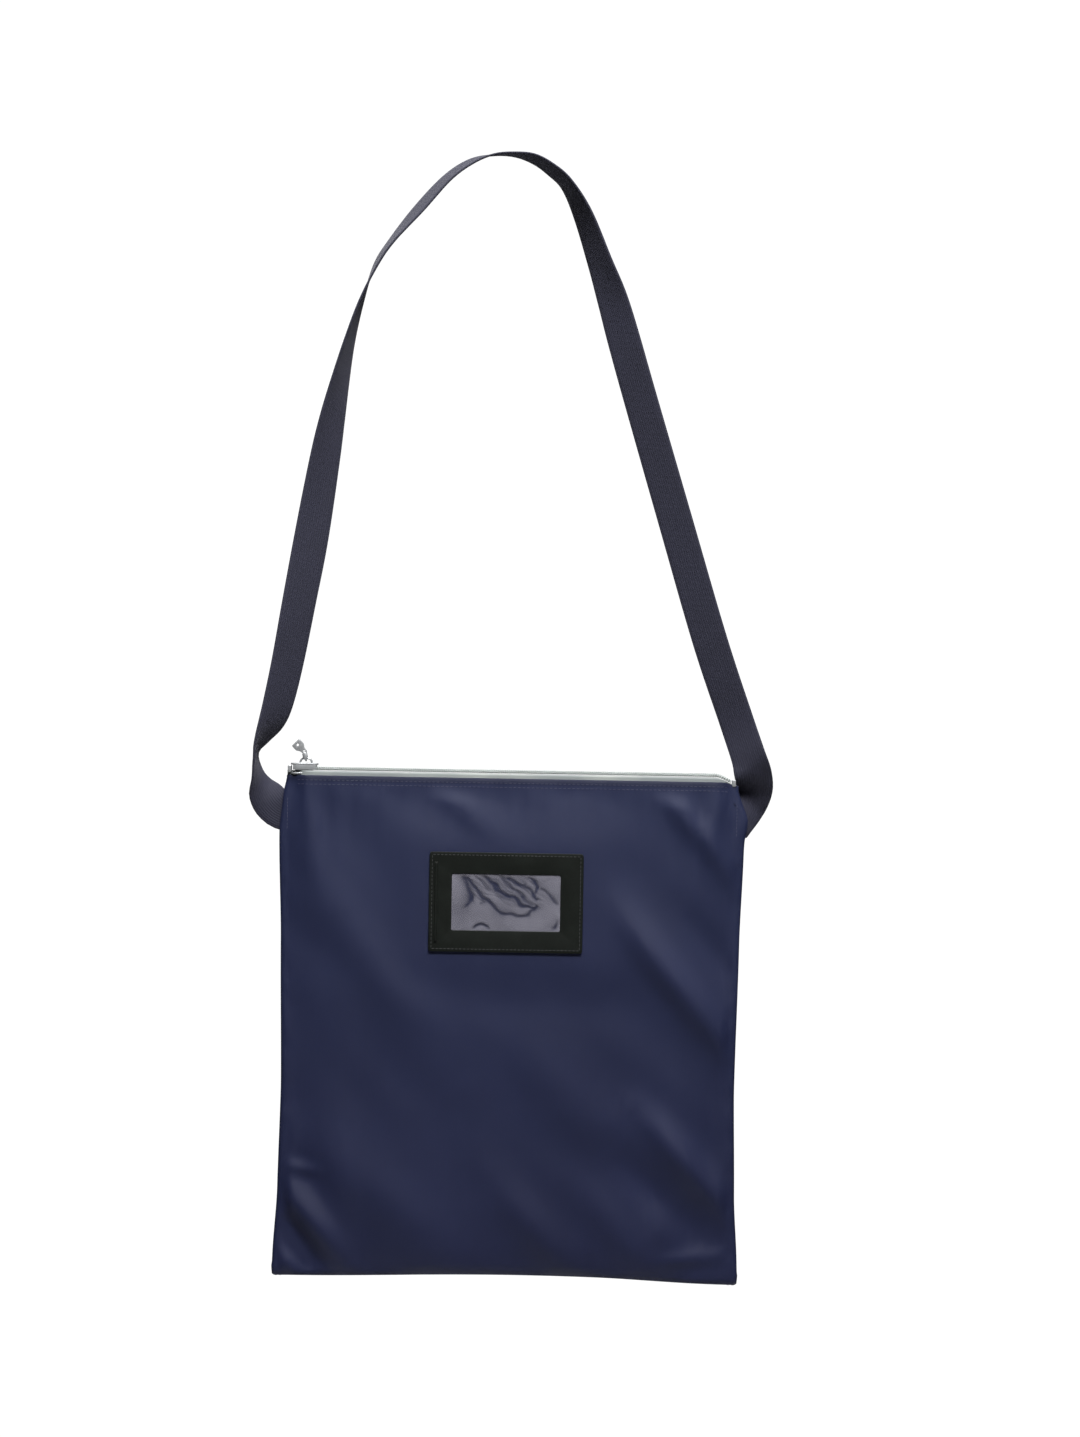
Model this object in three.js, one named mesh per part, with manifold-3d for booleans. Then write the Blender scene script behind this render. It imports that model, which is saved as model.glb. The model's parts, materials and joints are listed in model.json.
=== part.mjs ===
// A zipped cash deposit bag hanging from its sewn-in carrying strap. Millimetres, +Z up.
// X runs across the bag, +Y points to its back. The origin is the place under the top of the
// strap where a hand or a hook holds it.
import * as THREE from 'three';
import * as BufferGeometryUtils from 'three/addons/utils/BufferGeometryUtils.js';
import Module from 'manifold-3d';

const wasm = await Module();
wasm.setup();

// ---- driving dimensions ----
const HEM_Z = -413.5;            // top edge of both panels
const BASE_Z = -748;             // bottom seam
const BAG_DEPTH = 22;            // over both panels, at the flat middle
const PANEL_THICKNESS = 1.2;
const SEAM_GAP = 2.0;            // between the two panels along the seams
const HEM_DEPTH = 16.2;          // over both panels, at the top edge
const SEAM_FLANGE = 5;           // flat sewn border at the sides and the bottom
const SIDE_SLOPE = 42;           // from the border up to the flat middle
const BOTTOM_SLOPE = 40;
const TOP_SLOPE = 32;

const STRAP_WIDTH = 25;
const STRAP_THICKNESS = 1.4;
const STRAP_STEPS = 96;
const ANCHOR_Z = -436;           // middle of the strap where it enters each side seam
const ANCHOR_X = 155.5;
const SEWN_LENGTH = 14;          // strap end that lies inside the seam

const GAP = 0.3;                 // running gap between neighbouring pieces

const TAPE_TOP_Z = -410;
const TAPE_THICKNESS = 0.6;
const TAPE_INNER_Y = 1.1;
const TAPE_OUTER_Y = 6.4;
const TAPE_FLAP_BOTTOM_Z = -427;
const TAPE_HALF_LENGTH = 149.8;
const TAPE_FLAP_HALF_LENGTH = 134;
const COIL_OUTER_Y = 3.4;
const COIL_TOP_Z = -407.1;

const SLIDER_LENGTH = 18;
const SLIDER_X = -138.5;         // middle of the slider, at the closed end
const SLIDER_HALF_WIDTH = 5.4;
const SLIDER_TOP_Z = -405;
const SLIDER_PLATE = 1.4;
const CROWN_X = -137.6;
const CROWN_HALF_LENGTH = 4.4;
const CROWN_HEIGHT = 3.6;
const CROWN_BAR = 1.3;
const RING_WIRE = 1.0;
const RING_HEIGHT = 6.2;
const RING_HALF_WIDTH = 2.6;
const RING_PIVOT_Z = -403.5;
const RING_LEAN = THREE.MathUtils.degToRad(-12);
const TAB_LEAN = THREE.MathUtils.degToRad(-45);
const TAB_LENGTH = 8.5;
const TAB_HALF_WIDTH = 3.5;
const TAB_THICKNESS = 1.2;

const ID_X = -3;
const ID_Z = -495;
const ID_WIDTH = 102;
const ID_HEIGHT = 66;
const WINDOW_WIDTH = 73.5;
const WINDOW_HEIGHT = 39;
const ID_THICKNESS = 1.2;
const FILM_THICKNESS = 0.5;

// ---- materials ----
const cloth = (color) => new THREE.MeshStandardMaterial({ color, roughness: 0.7, metalness: 0 });
const navyNylon = cloth(0x343a5a);
const backNylon = cloth(0x30355a);
const webbing = cloth(0x35334a);
const sewnWebbing = cloth(0x2e2c42);
const greyTape = cloth(0xa9aeb4);
const seamTape = cloth(0x24263c);
const coilNylon = new THREE.MeshStandardMaterial({ color: 0xb6bcc0, roughness: 0.45, metalness: 0 });
const nickel = new THREE.MeshStandardMaterial({ color: 0xb7babd, roughness: 0.25, metalness: 1 });
const blackVinyl = new THREE.MeshStandardMaterial({ color: 0x181d1a, roughness: 0.5, metalness: 0 });
const clearFilm = new THREE.MeshStandardMaterial({
  color: 0x6b6c80, roughness: 0.15, metalness: 0, transparent: true, opacity: 0.5,
});

// ---- helpers ----
const bag = new THREE.Group();

function addMesh(parent, name, geometry, material, place = [0, 0, 0]) {
  const mesh = new THREE.Mesh(geometry, material);
  mesh.name = name;
  mesh.position.set(...place);
  parent.add(mesh);
  return mesh;
}

function box(low, high) {
  const size = high.map((v, i) => v - low[i]);
  const geometry = new THREE.BoxGeometry(...size);
  return geometry.translate(low[0] + size[0] / 2, low[1] + size[1] / 2, low[2] + size[2] / 2);
}

function toSolid(geometry) {
  const bare = geometry.clone();
  bare.deleteAttribute('normal');
  bare.deleteAttribute('uv');
  const merged = BufferGeometryUtils.mergeVertices(bare, 1e-4);
  return new wasm.Manifold(new wasm.Mesh({
    numProp: 3,
    vertProperties: new Float32Array(merged.attributes.position.array),
    triVerts: new Uint32Array(merged.index.array),
  }));
}

function toGeometry(solid) {
  const mesh = solid.getMesh();
  const geometry = new THREE.BufferGeometry();
  geometry.setAttribute('position', new THREE.BufferAttribute(mesh.vertProperties, 3));
  geometry.setIndex(new THREE.BufferAttribute(mesh.triVerts, 1));
  geometry.computeVertexNormals();
  return geometry;
}

const joined = (a, b) => toGeometry(toSolid(a).add(toSolid(b)));

// An indexed body from points and quads, each quad listed anticlockwise seen from outside.
function bodyFromQuads(points, quads) {
  const geometry = new THREE.BufferGeometry();
  geometry.setAttribute('position', new THREE.Float32BufferAttribute(points.flat(), 3));
  geometry.setIndex(quads.flatMap(([a, b, c, d]) => [a, b, c, a, c, d]));
  geometry.computeVertexNormals();
  return geometry;
}

// Extrudes an outline drawn in X and Z by `depth` along Y, centred on y = 0.
function plateAcrossY(shape, depth, curveSegments = 10) {
  const geometry = new THREE.ExtrudeGeometry(shape, { depth, bevelEnabled: false, curveSegments });
  return geometry.translate(0, 0, -depth / 2).rotateX(Math.PI / 2);
}

const smooth = (t) => {
  const s = THREE.MathUtils.clamp(t, 0, 1);
  return s * s * (3 - 2 * s);
};

// ---- bag panels ----
// Half the bag's width by height: shoulders at the strap, a slight waist, square bottom corners.
const outline = new THREE.CatmullRomCurve3([
  new THREE.Vector3(150, 0, HEM_Z),
  new THREE.Vector3(153.5, 0, -427),
  new THREE.Vector3(155, 0, -450),
  new THREE.Vector3(152.2, 0, -520),
  new THREE.Vector3(150.8, 0, -620),
  new THREE.Vector3(152.4, 0, -690),
  new THREE.Vector3(154.5, 0, -732),
  new THREE.Vector3(153.4, 0, BASE_Z),
]);

const PANEL_ROWS = 22;
const PANEL_COLUMNS = [0, 30, 60, 80];
const BORDER_COLUMNS = 6;

// How far the panel's outer face stands from the middle plane, `inFromSide` mm from its side edge.
function panelDepth(inFromSide, z) {
  const belowHem = HEM_Z - z;
  const slopeWidth = THREE.MathUtils.lerp(9, SIDE_SLOPE, smooth(belowHem / 70));
  const side = smooth((inFromSide - SEAM_FLANGE) / slopeWidth);
  const base = smooth((z - BASE_Z - SEAM_FLANGE) / BOTTOM_SLOPE);
  const flat = BAG_DEPTH / 2;
  const top = THREE.MathUtils.lerp(HEM_DEPTH / 2, flat, smooth(belowHem / TOP_SLOPE));
  const seam = SEAM_GAP / 2 + PANEL_THICKNESS;
  return seam + (top - seam) * Math.min(side, base);
}

function panelHeights() {
  const heights = [];
  for (let i = 0; i <= PANEL_ROWS; i += 1) {
    const t = i / PANEL_ROWS;
    // rows crowd towards the hem and the bottom, where the panel slopes
    const eased = 0.5 - 0.5 * Math.cos(Math.PI * t);
    heights.push(THREE.MathUtils.lerp(HEM_Z, BASE_Z, 0.35 * t + 0.65 * eased));
  }
  return heights;
}

function halfWidthAt(z) {
  const samples = outline.getPoints(160);
  const k = samples.findIndex((p) => p.z <= z + 1e-6);
  if (k <= 0) return samples[0].x;
  const [a, b] = [samples[k - 1], samples[k]];
  return THREE.MathUtils.mapLinear(z, a.z, b.z, a.x, b.x);
}

// Positions across one panel row, from the left edge to the right edge.
function panelRow(z) {
  const half = halfWidthAt(z);
  const right = [...PANEL_COLUMNS];
  for (let i = 0; i <= BORDER_COLUMNS; i += 1) {
    right.push(THREE.MathUtils.lerp(100, half - SEAM_FLANGE, Math.sin((i / BORDER_COLUMNS) * Math.PI / 2)));
  }
  right.push(half);
  const left = right.slice(1).reverse().map((x) => -x);
  return [...left, ...right].map((x) => ({ x, depth: panelDepth(half - Math.abs(x), z) }));
}

// A sewn cloth panel as a thin shell; side is -1 for the front and +1 for the back.
function panelGeometry(side) {
  const heights = panelHeights();
  const rows = heights.map((z) => panelRow(z).map(({ x, depth }) => [x, side * depth, z]));
  const columns = rows[0].length;
  const outer = rows.flat();
  const inner = outer.map(([x, y, z]) => [x, y - side * PANEL_THICKNESS, z]);
  const points = [...outer, ...inner];
  const at = (layer, i, j) => layer * outer.length + i * columns + j;
  const quads = [];
  for (let i = 0; i < heights.length - 1; i += 1) {
    for (let j = 0; j < columns - 1; j += 1) {
      quads.push([at(0, i, j), at(0, i + 1, j), at(0, i + 1, j + 1), at(0, i, j + 1)]);
      quads.push([at(1, i, j), at(1, i, j + 1), at(1, i + 1, j + 1), at(1, i + 1, j)]);
    }
    const last = columns - 1;
    quads.push([at(0, i, 0), at(1, i, 0), at(1, i + 1, 0), at(0, i + 1, 0)]);
    quads.push([at(0, i, last), at(0, i + 1, last), at(1, i + 1, last), at(1, i, last)]);
  }
  const end = heights.length - 1;
  for (let j = 0; j < columns - 1; j += 1) {
    quads.push([at(0, 0, j), at(0, 0, j + 1), at(1, 0, j + 1), at(1, 0, j)]);
    quads.push([at(0, end, j), at(1, end, j), at(1, end, j + 1), at(0, end, j + 1)]);
  }
  const facing = side < 0 ? quads : quads.map((q) => [...q].reverse());
  return bodyFromQuads(points, facing);
}

// ---- seams ----
const SEAM_TAPE_WIDTH = 9;
const SEAM_TAPE_THICKNESS = SEAM_GAP - 2 * GAP;
const SIDE_TAPE_TOP_Z = ANCHOR_Z - STRAP_WIDTH / 2 - GAP;
const SIDE_TAPE_BOTTOM_Z = BASE_Z + SEAM_TAPE_WIDTH + GAP;

// The bound seam allowance along one side, following the bag's outline.
function sideSeamGeometry(side) {
  const shape = new THREE.Shape();
  const steps = 12;
  const edge = [];
  for (let i = 0; i <= steps; i += 1) {
    const z = THREE.MathUtils.lerp(SIDE_TAPE_TOP_Z, SIDE_TAPE_BOTTOM_Z, i / steps);
    edge.push(new THREE.Vector2(side * (halfWidthAt(z) - GAP), z));
  }
  const inner = edge.map((p) => new THREE.Vector2(p.x - side * SEAM_TAPE_WIDTH, p.y)).reverse();
  shape.setFromPoints([...edge, ...inner]);
  return plateAcrossY(shape, SEAM_TAPE_THICKNESS);
}

// ---- strap ----
// The strap's middle line from the left seam over the top to the right seam. `turn` is how far the
// webbing is twisted out of the bag's plane, in degrees: 0 lies in the plane with its inner edge
// towards the middle of the loop, 90 stands edge-on. Near the seams, where it rolls over, `across`
// gives the direction from its outer to its inner edge.
const STRAP_ROUTE = [
  { at: [-156.2, 0, -436], across: [0, 0, 1] },
  { at: [-157.8, 0.1, -434.6], across: [0.03, 0.03, 1] },
  { at: [-160, 0.4, -431], across: [0.1, 0.12, 0.99] },
  { at: [-166.5, 0.6, -422], across: [0.15, 0.5, 0.85] },
  { at: [-170.3, 0, -410], across: [0.08, 0.9, 0.42] },
  { at: [-171, 0, -398.5], turn: 88 },
  { at: [-167.2, 0, -389.5], turn: 72 },
  { at: [-160.6, 0, -376.9], turn: 50 },
  { at: [-156.4, 0, -363.5], turn: 41 },
  { at: [-150.8, 0, -336.8], turn: 36 },
  { at: [-143.9, 0, -296.8], turn: 31 },
  { at: [-137, 0, -256.8], turn: 28 },
  { at: [-128.7, 0, -203.4], turn: 41 },
  { at: [-124.3, 0, -176.7], turn: 52 },
  { at: [-119.2, 0, -150], turn: 66 },
  { at: [-113.4, 0, -123.3], turn: 79 },
  { at: [-106, 0, -97], turn: 89 },
  { at: [-96.6, 0, -72.5], turn: 101 },
  { at: [-86.4, 0, -56.4], turn: 104 },
  { at: [-68.6, 0, -34.8], turn: 111 },
  { at: [-50.5, 0, -14.5], turn: 109 },
  { at: [-35, 0, -3.4], turn: 106 },
  { at: [-20, 0, 1.4], turn: 98 },
  { at: [-6, 0, 1.9], turn: 93 },
  { at: [7, 0, -0.9], turn: 84 },
  { at: [18, 0, -7.4], turn: 79 },
  { at: [29, 0, -17.4], turn: 75 },
  { at: [40.4, 0, -38.2], turn: 63 },
  { at: [52.3, 0, -70], turn: 52 },
  { at: [60.8, 0, -93.7], turn: 39 },
  { at: [68.8, 0, -120.2], turn: 32 },
  { at: [80.7, 0, -160], turn: 30 },
  { at: [104.9, 0, -239.2], turn: 27 },
  { at: [129.3, 0, -318.6], turn: 25 },
  { at: [147.8, 0, -371.5], turn: 27 },
  { at: [157.5, -0.5, -398], across: [-0.85, 0.42, -0.31] },
  { at: [163.8, -1.5, -411], across: [-0.95, 0.2, -0.24] },
  { at: [168.3, 0, -419], across: [-1, 0.05, 0] },
  { at: [168.6, 5, -423], across: [-0.95, 0, 0.3] },
  { at: [167, 9, -427], across: [-0.76, 0, 0.65] },
  { at: [163.5, 7.5, -432], across: [-0.45, 0, 0.89] },
  { at: [160.5, 3.5, -434.8], across: [-0.18, 0, 0.98] },
  { at: [158, 0.9, -435.9], across: [-0.04, 0, 1] },
  { at: [156.2, 0, -436], across: [0, 0, 1] },
];

function acrossDirection(row, tangent) {
  if (row.across) return new THREE.Vector3(...row.across).normalize();
  const turn = THREE.MathUtils.degToRad(row.turn);
  const inward = new THREE.Vector3(0, 1, 0).cross(tangent).normalize();
  return inward.multiplyScalar(Math.cos(turn)).add(new THREE.Vector3(0, Math.sin(turn), 0));
}

function strapGeometry() {
  const middle = new THREE.CatmullRomCurve3(STRAP_ROUTE.map((row) => new THREE.Vector3(...row.at)));
  const last = STRAP_ROUTE.length - 1;
  const widths = STRAP_ROUTE.map((row, i) => acrossDirection(row, middle.getTangent(i / last)));
  const acrossCurve = new THREE.CatmullRomCurve3(widths);
  const points = [];
  const quads = [];
  for (let i = 0; i <= STRAP_STEPS; i += 1) {
    const t = i / STRAP_STEPS;
    const centre = middle.getPoint(t);
    const across = acrossCurve.getPoint(t).normalize();
    const through = middle.getTangent(t).cross(across).normalize();
    for (const [a, b] of [[-1, -1], [1, -1], [1, 1], [-1, 1]]) {
      const corner = centre.clone().addScaledVector(across, a * STRAP_WIDTH / 2);
      points.push(corner.addScaledVector(through, b * STRAP_THICKNESS / 2).toArray());
    }
  }
  for (let i = 0; i < STRAP_STEPS; i += 1) {
    for (let k = 0; k < 4; k += 1) {
      const [a, b] = [4 * i + k, 4 * i + (k + 1) % 4];
      quads.push([a, b, b + 4, a + 4]);
    }
  }
  const end = 4 * STRAP_STEPS;
  quads.push([3, 2, 1, 0], [end, end + 1, end + 2, end + 3]);
  return bodyFromQuads(points, quads);
}

function strapEndGeometry(side) {
  const inner = side * (ANCHOR_X - SEWN_LENGTH);
  const outer = side * ANCHOR_X;
  const [low, high] = [Math.min(inner, outer), Math.max(inner, outer)];
  return box(
    [low, -STRAP_THICKNESS / 2, ANCHOR_Z - STRAP_WIDTH / 2],
    [high, STRAP_THICKNESS / 2, ANCHOR_Z + STRAP_WIDTH / 2],
  );
}

// ---- zip ----
// One woven tape: a strip under the coil and a flap that is sewn inside the panel's hem.
function tapeGeometry(side) {
  const order = (a, b) => (side < 0 ? [-b, -a] : [a, b]);
  const [stripLow, stripHigh] = order(TAPE_INNER_Y, TAPE_OUTER_Y);
  const [flapLow, flapHigh] = order(TAPE_OUTER_Y - TAPE_THICKNESS, TAPE_OUTER_Y);
  const strip = box(
    [-TAPE_HALF_LENGTH, stripLow, TAPE_TOP_Z - TAPE_THICKNESS],
    [TAPE_HALF_LENGTH, stripHigh, TAPE_TOP_Z],
  );
  const flap = box(
    [-TAPE_FLAP_HALF_LENGTH, flapLow, TAPE_FLAP_BOTTOM_Z],
    [TAPE_FLAP_HALF_LENGTH, flapHigh, TAPE_TOP_Z - TAPE_THICKNESS / 2],
  );
  return joined(strip, flap);
}

const COIL_BOTTOM_Z = TAPE_TOP_Z + GAP;
const COIL_HALF_LENGTH = 145.5;
const STOP_LENGTH = 2.4;
const TOP_STOP_X = -148.3;       // just behind the closed slider
const BOTTOM_STOP_X = COIL_HALF_LENGTH + GAP + STOP_LENGTH / 2;

// One row of the nylon coil, as the bar that the coil's turns fill.
function coilGeometry(side) {
  const [low, high] = side < 0 ? [-COIL_OUTER_Y, -TAPE_INNER_Y] : [TAPE_INNER_Y, COIL_OUTER_Y];
  return box([-COIL_HALF_LENGTH, low, COIL_BOTTOM_Z], [COIL_HALF_LENGTH, high, COIL_TOP_Z]);
}

function stopGeometry(centreX, lowY, highY) {
  return box(
    [centreX - STOP_LENGTH / 2, lowY, COIL_BOTTOM_Z],
    [centreX + STOP_LENGTH / 2, highY, COIL_TOP_Z + GAP],
  );
}

// The slider: a top plate with side flanges, a centre post and a bottom plate under the tapes.
function sliderGeometry() {
  const post = 0.7;
  const flangeInner = 4.0;
  const flangeBottom = TAPE_TOP_Z + 0.4;
  const lowerTop = TAPE_TOP_Z - TAPE_THICKNESS - 0.5;
  const lowerHalf = 5.2;
  const plateBottom = SLIDER_TOP_Z - SLIDER_PLATE;
  const lowerBottom = lowerTop - SLIDER_PLATE;
  const half = [
    [SLIDER_HALF_WIDTH, SLIDER_TOP_Z],
    [SLIDER_HALF_WIDTH, flangeBottom],
    [flangeInner, flangeBottom],
    [flangeInner, plateBottom],
    [post, plateBottom],
    [post, lowerTop],
    [lowerHalf, lowerTop],
    [lowerHalf, lowerBottom],
  ];
  const mirrored = [...half].reverse().map(([y, z]) => [-y, z]);
  const shape = new THREE.Shape([...half, ...mirrored].map(([y, z]) => new THREE.Vector2(y, z)));
  const geometry = new THREE.ExtrudeGeometry(shape, { depth: SLIDER_LENGTH, bevelEnabled: false });
  geometry.translate(0, 0, -SLIDER_LENGTH / 2);
  // drawn in Y and Z, extruded along X
  geometry.applyMatrix4(new THREE.Matrix4().set(0, 0, 1, 0, 1, 0, 0, 0, 0, 1, 0, 0, 0, 0, 0, 1));
  return geometry.translate(SLIDER_X, 0, 0);
}

// The arch on the slider that carries the pull ring.
function crownGeometry() {
  const shape = new THREE.Shape();
  shape.absellipse(0, 0, CROWN_HALF_LENGTH, CROWN_HEIGHT, 0, Math.PI, false);
  shape.lineTo(-CROWN_HALF_LENGTH + CROWN_BAR, 0);
  shape.absellipse(0, 0, CROWN_HALF_LENGTH - CROWN_BAR, CROWN_HEIGHT - CROWN_BAR, Math.PI, 0, true);
  shape.closePath();
  const geometry = new THREE.ExtrudeGeometry(shape, { depth: 2.6, bevelEnabled: false, curveSegments: 12 });
  geometry.translate(0, 0, -1.3).rotateX(Math.PI / 2);
  return geometry.translate(CROWN_X, 0, SLIDER_TOP_Z + GAP);
}

// The wire ring, standing across the zip, with its lower bar on the pivot.
function ringGeometry() {
  const corner = 1.4;
  const w = RING_HALF_WIDTH;
  const h = RING_HEIGHT;
  const path = new THREE.CurvePath();
  const v = (y, z) => new THREE.Vector3(0, y, z);
  path.add(new THREE.LineCurve3(v(-w + corner, 0), v(w - corner, 0)));
  path.add(new THREE.QuadraticBezierCurve3(v(w - corner, 0), v(w, 0), v(w, corner)));
  path.add(new THREE.LineCurve3(v(w, corner), v(w, h - corner)));
  path.add(new THREE.QuadraticBezierCurve3(v(w, h - corner), v(w, h), v(w - corner, h)));
  path.add(new THREE.LineCurve3(v(w - corner, h), v(-w + corner, h)));
  path.add(new THREE.QuadraticBezierCurve3(v(-w + corner, h), v(-w, h), v(-w, h - corner)));
  path.add(new THREE.LineCurve3(v(-w, h - corner), v(-w, corner)));
  path.add(new THREE.QuadraticBezierCurve3(v(-w, corner), v(-w, 0), v(-w + corner, 0)));
  const points = path.getSpacedPoints(40).slice(0, -1);
  const loop = new THREE.CatmullRomCurve3(points, true);
  const radius = RING_WIRE / 2;
  const section = new THREE.Shape().absarc(0, 0, radius, 0, Math.PI * 2, false);
  return new THREE.ExtrudeGeometry(section, {
    steps: 40, extrudePath: loop, bevelEnabled: false, curveSegments: 4,
  });
}

// The flat pull: a narrow eye end on the ring that widens to a pierced rounded tab.
function tabGeometry() {
  const neck = 1.8;
  const shoulder = 4.0;
  const eyeRadius = 0.9;
  const holeRadius = 1.3;
  const roundEnd = 1.7;
  const shape = new THREE.Shape();
  shape.absarc(0, 0, neck, Math.PI, 0, false);
  shape.lineTo(neck, neck);
  shape.lineTo(TAB_HALF_WIDTH, shoulder);
  shape.lineTo(TAB_HALF_WIDTH, TAB_LENGTH - roundEnd);
  shape.quadraticCurveTo(TAB_HALF_WIDTH, TAB_LENGTH, TAB_HALF_WIDTH - roundEnd, TAB_LENGTH);
  shape.lineTo(-TAB_HALF_WIDTH + roundEnd, TAB_LENGTH);
  shape.quadraticCurveTo(-TAB_HALF_WIDTH, TAB_LENGTH, -TAB_HALF_WIDTH, TAB_LENGTH - roundEnd);
  shape.lineTo(-TAB_HALF_WIDTH, shoulder);
  shape.lineTo(-neck, neck);
  shape.closePath();
  shape.holes.push(new THREE.Path().absarc(0, 0, eyeRadius, 0, Math.PI * 2, true));
  shape.holes.push(new THREE.Path().absarc(0, TAB_LENGTH - 2 * holeRadius, holeRadius, 0, Math.PI * 2, true));
  const geometry = new THREE.ExtrudeGeometry(shape, {
    depth: TAB_THICKNESS, bevelEnabled: false, curveSegments: 8,
  });
  return geometry.translate(0, 0, -TAB_THICKNESS / 2).rotateX(Math.PI / 2);
}

// ---- identification window ----
function idFrameGeometry() {
  const shape = new THREE.Shape([
    new THREE.Vector2(-ID_WIDTH / 2, -ID_HEIGHT / 2),
    new THREE.Vector2(ID_WIDTH / 2, -ID_HEIGHT / 2),
    new THREE.Vector2(ID_WIDTH / 2, ID_HEIGHT / 2),
    new THREE.Vector2(-ID_WIDTH / 2, ID_HEIGHT / 2),
  ]);
  shape.holes.push(new THREE.Path([
    new THREE.Vector2(-WINDOW_WIDTH / 2, -WINDOW_HEIGHT / 2),
    new THREE.Vector2(-WINDOW_WIDTH / 2, WINDOW_HEIGHT / 2),
    new THREE.Vector2(WINDOW_WIDTH / 2, WINDOW_HEIGHT / 2),
    new THREE.Vector2(WINDOW_WIDTH / 2, -WINDOW_HEIGHT / 2),
  ]));
  return plateAcrossY(shape, ID_THICKNESS);
}

// ---- assembly ----
const frontFace = -BAG_DEPTH / 2;

addMesh(bag, 'strap', strapGeometry(), webbing);
addMesh(bag, 'strap_end_left', strapEndGeometry(-1), sewnWebbing);
addMesh(bag, 'strap_end_right', strapEndGeometry(1), sewnWebbing);
addMesh(bag, 'front_panel', panelGeometry(-1), navyNylon);
addMesh(bag, 'back_panel', panelGeometry(1), backNylon);
addMesh(bag, 'side_seam_left', sideSeamGeometry(-1), seamTape);
addMesh(bag, 'side_seam_right', sideSeamGeometry(1), seamTape);
const baseSeamHalf = halfWidthAt(BASE_Z) - GAP;
addMesh(bag, 'bottom_seam', box(
  [-baseSeamHalf, -SEAM_TAPE_THICKNESS / 2, BASE_Z + GAP],
  [baseSeamHalf, SEAM_TAPE_THICKNESS / 2, BASE_Z + SEAM_TAPE_WIDTH],
), seamTape);

addMesh(bag, 'zip_tape_front', tapeGeometry(-1), greyTape);
addMesh(bag, 'zip_tape_back', tapeGeometry(1), greyTape);
addMesh(bag, 'zip_coil_front', coilGeometry(-1), coilNylon);
addMesh(bag, 'zip_coil_back', coilGeometry(1), coilNylon);
addMesh(bag, 'top_stop_front', stopGeometry(TOP_STOP_X, -COIL_OUTER_Y, -TAPE_INNER_Y), nickel);
addMesh(bag, 'top_stop_back', stopGeometry(TOP_STOP_X, TAPE_INNER_Y, COIL_OUTER_Y), nickel);
addMesh(bag, 'bottom_stop', stopGeometry(BOTTOM_STOP_X, -COIL_OUTER_Y, COIL_OUTER_Y), nickel);

addMesh(bag, 'slider_body', sliderGeometry(), nickel);
addMesh(bag, 'slider_crown', crownGeometry(), nickel);
const ringPivot = new THREE.Vector3(CROWN_X, 0, RING_PIVOT_Z);
const ring = addMesh(bag, 'pull_ring', ringGeometry(), nickel, ringPivot.toArray());
ring.rotation.y = RING_LEAN;
const tabPivot = ringPivot.clone().add(
  new THREE.Vector3(Math.sin(RING_LEAN), 0, Math.cos(RING_LEAN)).multiplyScalar(RING_HEIGHT),
);
const tab = addMesh(bag, 'pull_tab', tabGeometry(), nickel, tabPivot.toArray());
tab.rotation.y = TAB_LEAN;

const frameY = frontFace - GAP - ID_THICKNESS / 2;
addMesh(bag, 'id_frame', idFrameGeometry(), blackVinyl, [ID_X, frameY, ID_Z]);
addMesh(bag, 'id_window', new THREE.BoxGeometry(
  WINDOW_WIDTH - 2 * GAP, FILM_THICKNESS, WINDOW_HEIGHT - 2 * GAP,
), clearFilm, [ID_X, frameY, ID_Z]);

export default bag;
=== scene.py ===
"""Looks for the cash deposit bag: coated nylon pouch, coil zip, webbing strap and card window.

Laid out as a Blender add-on and run as a script. Every operator adds one piece, or one group of
like pieces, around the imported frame. Lengths are in metres, +Z up, and the front faces -Y.
"""

import json
import math

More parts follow.
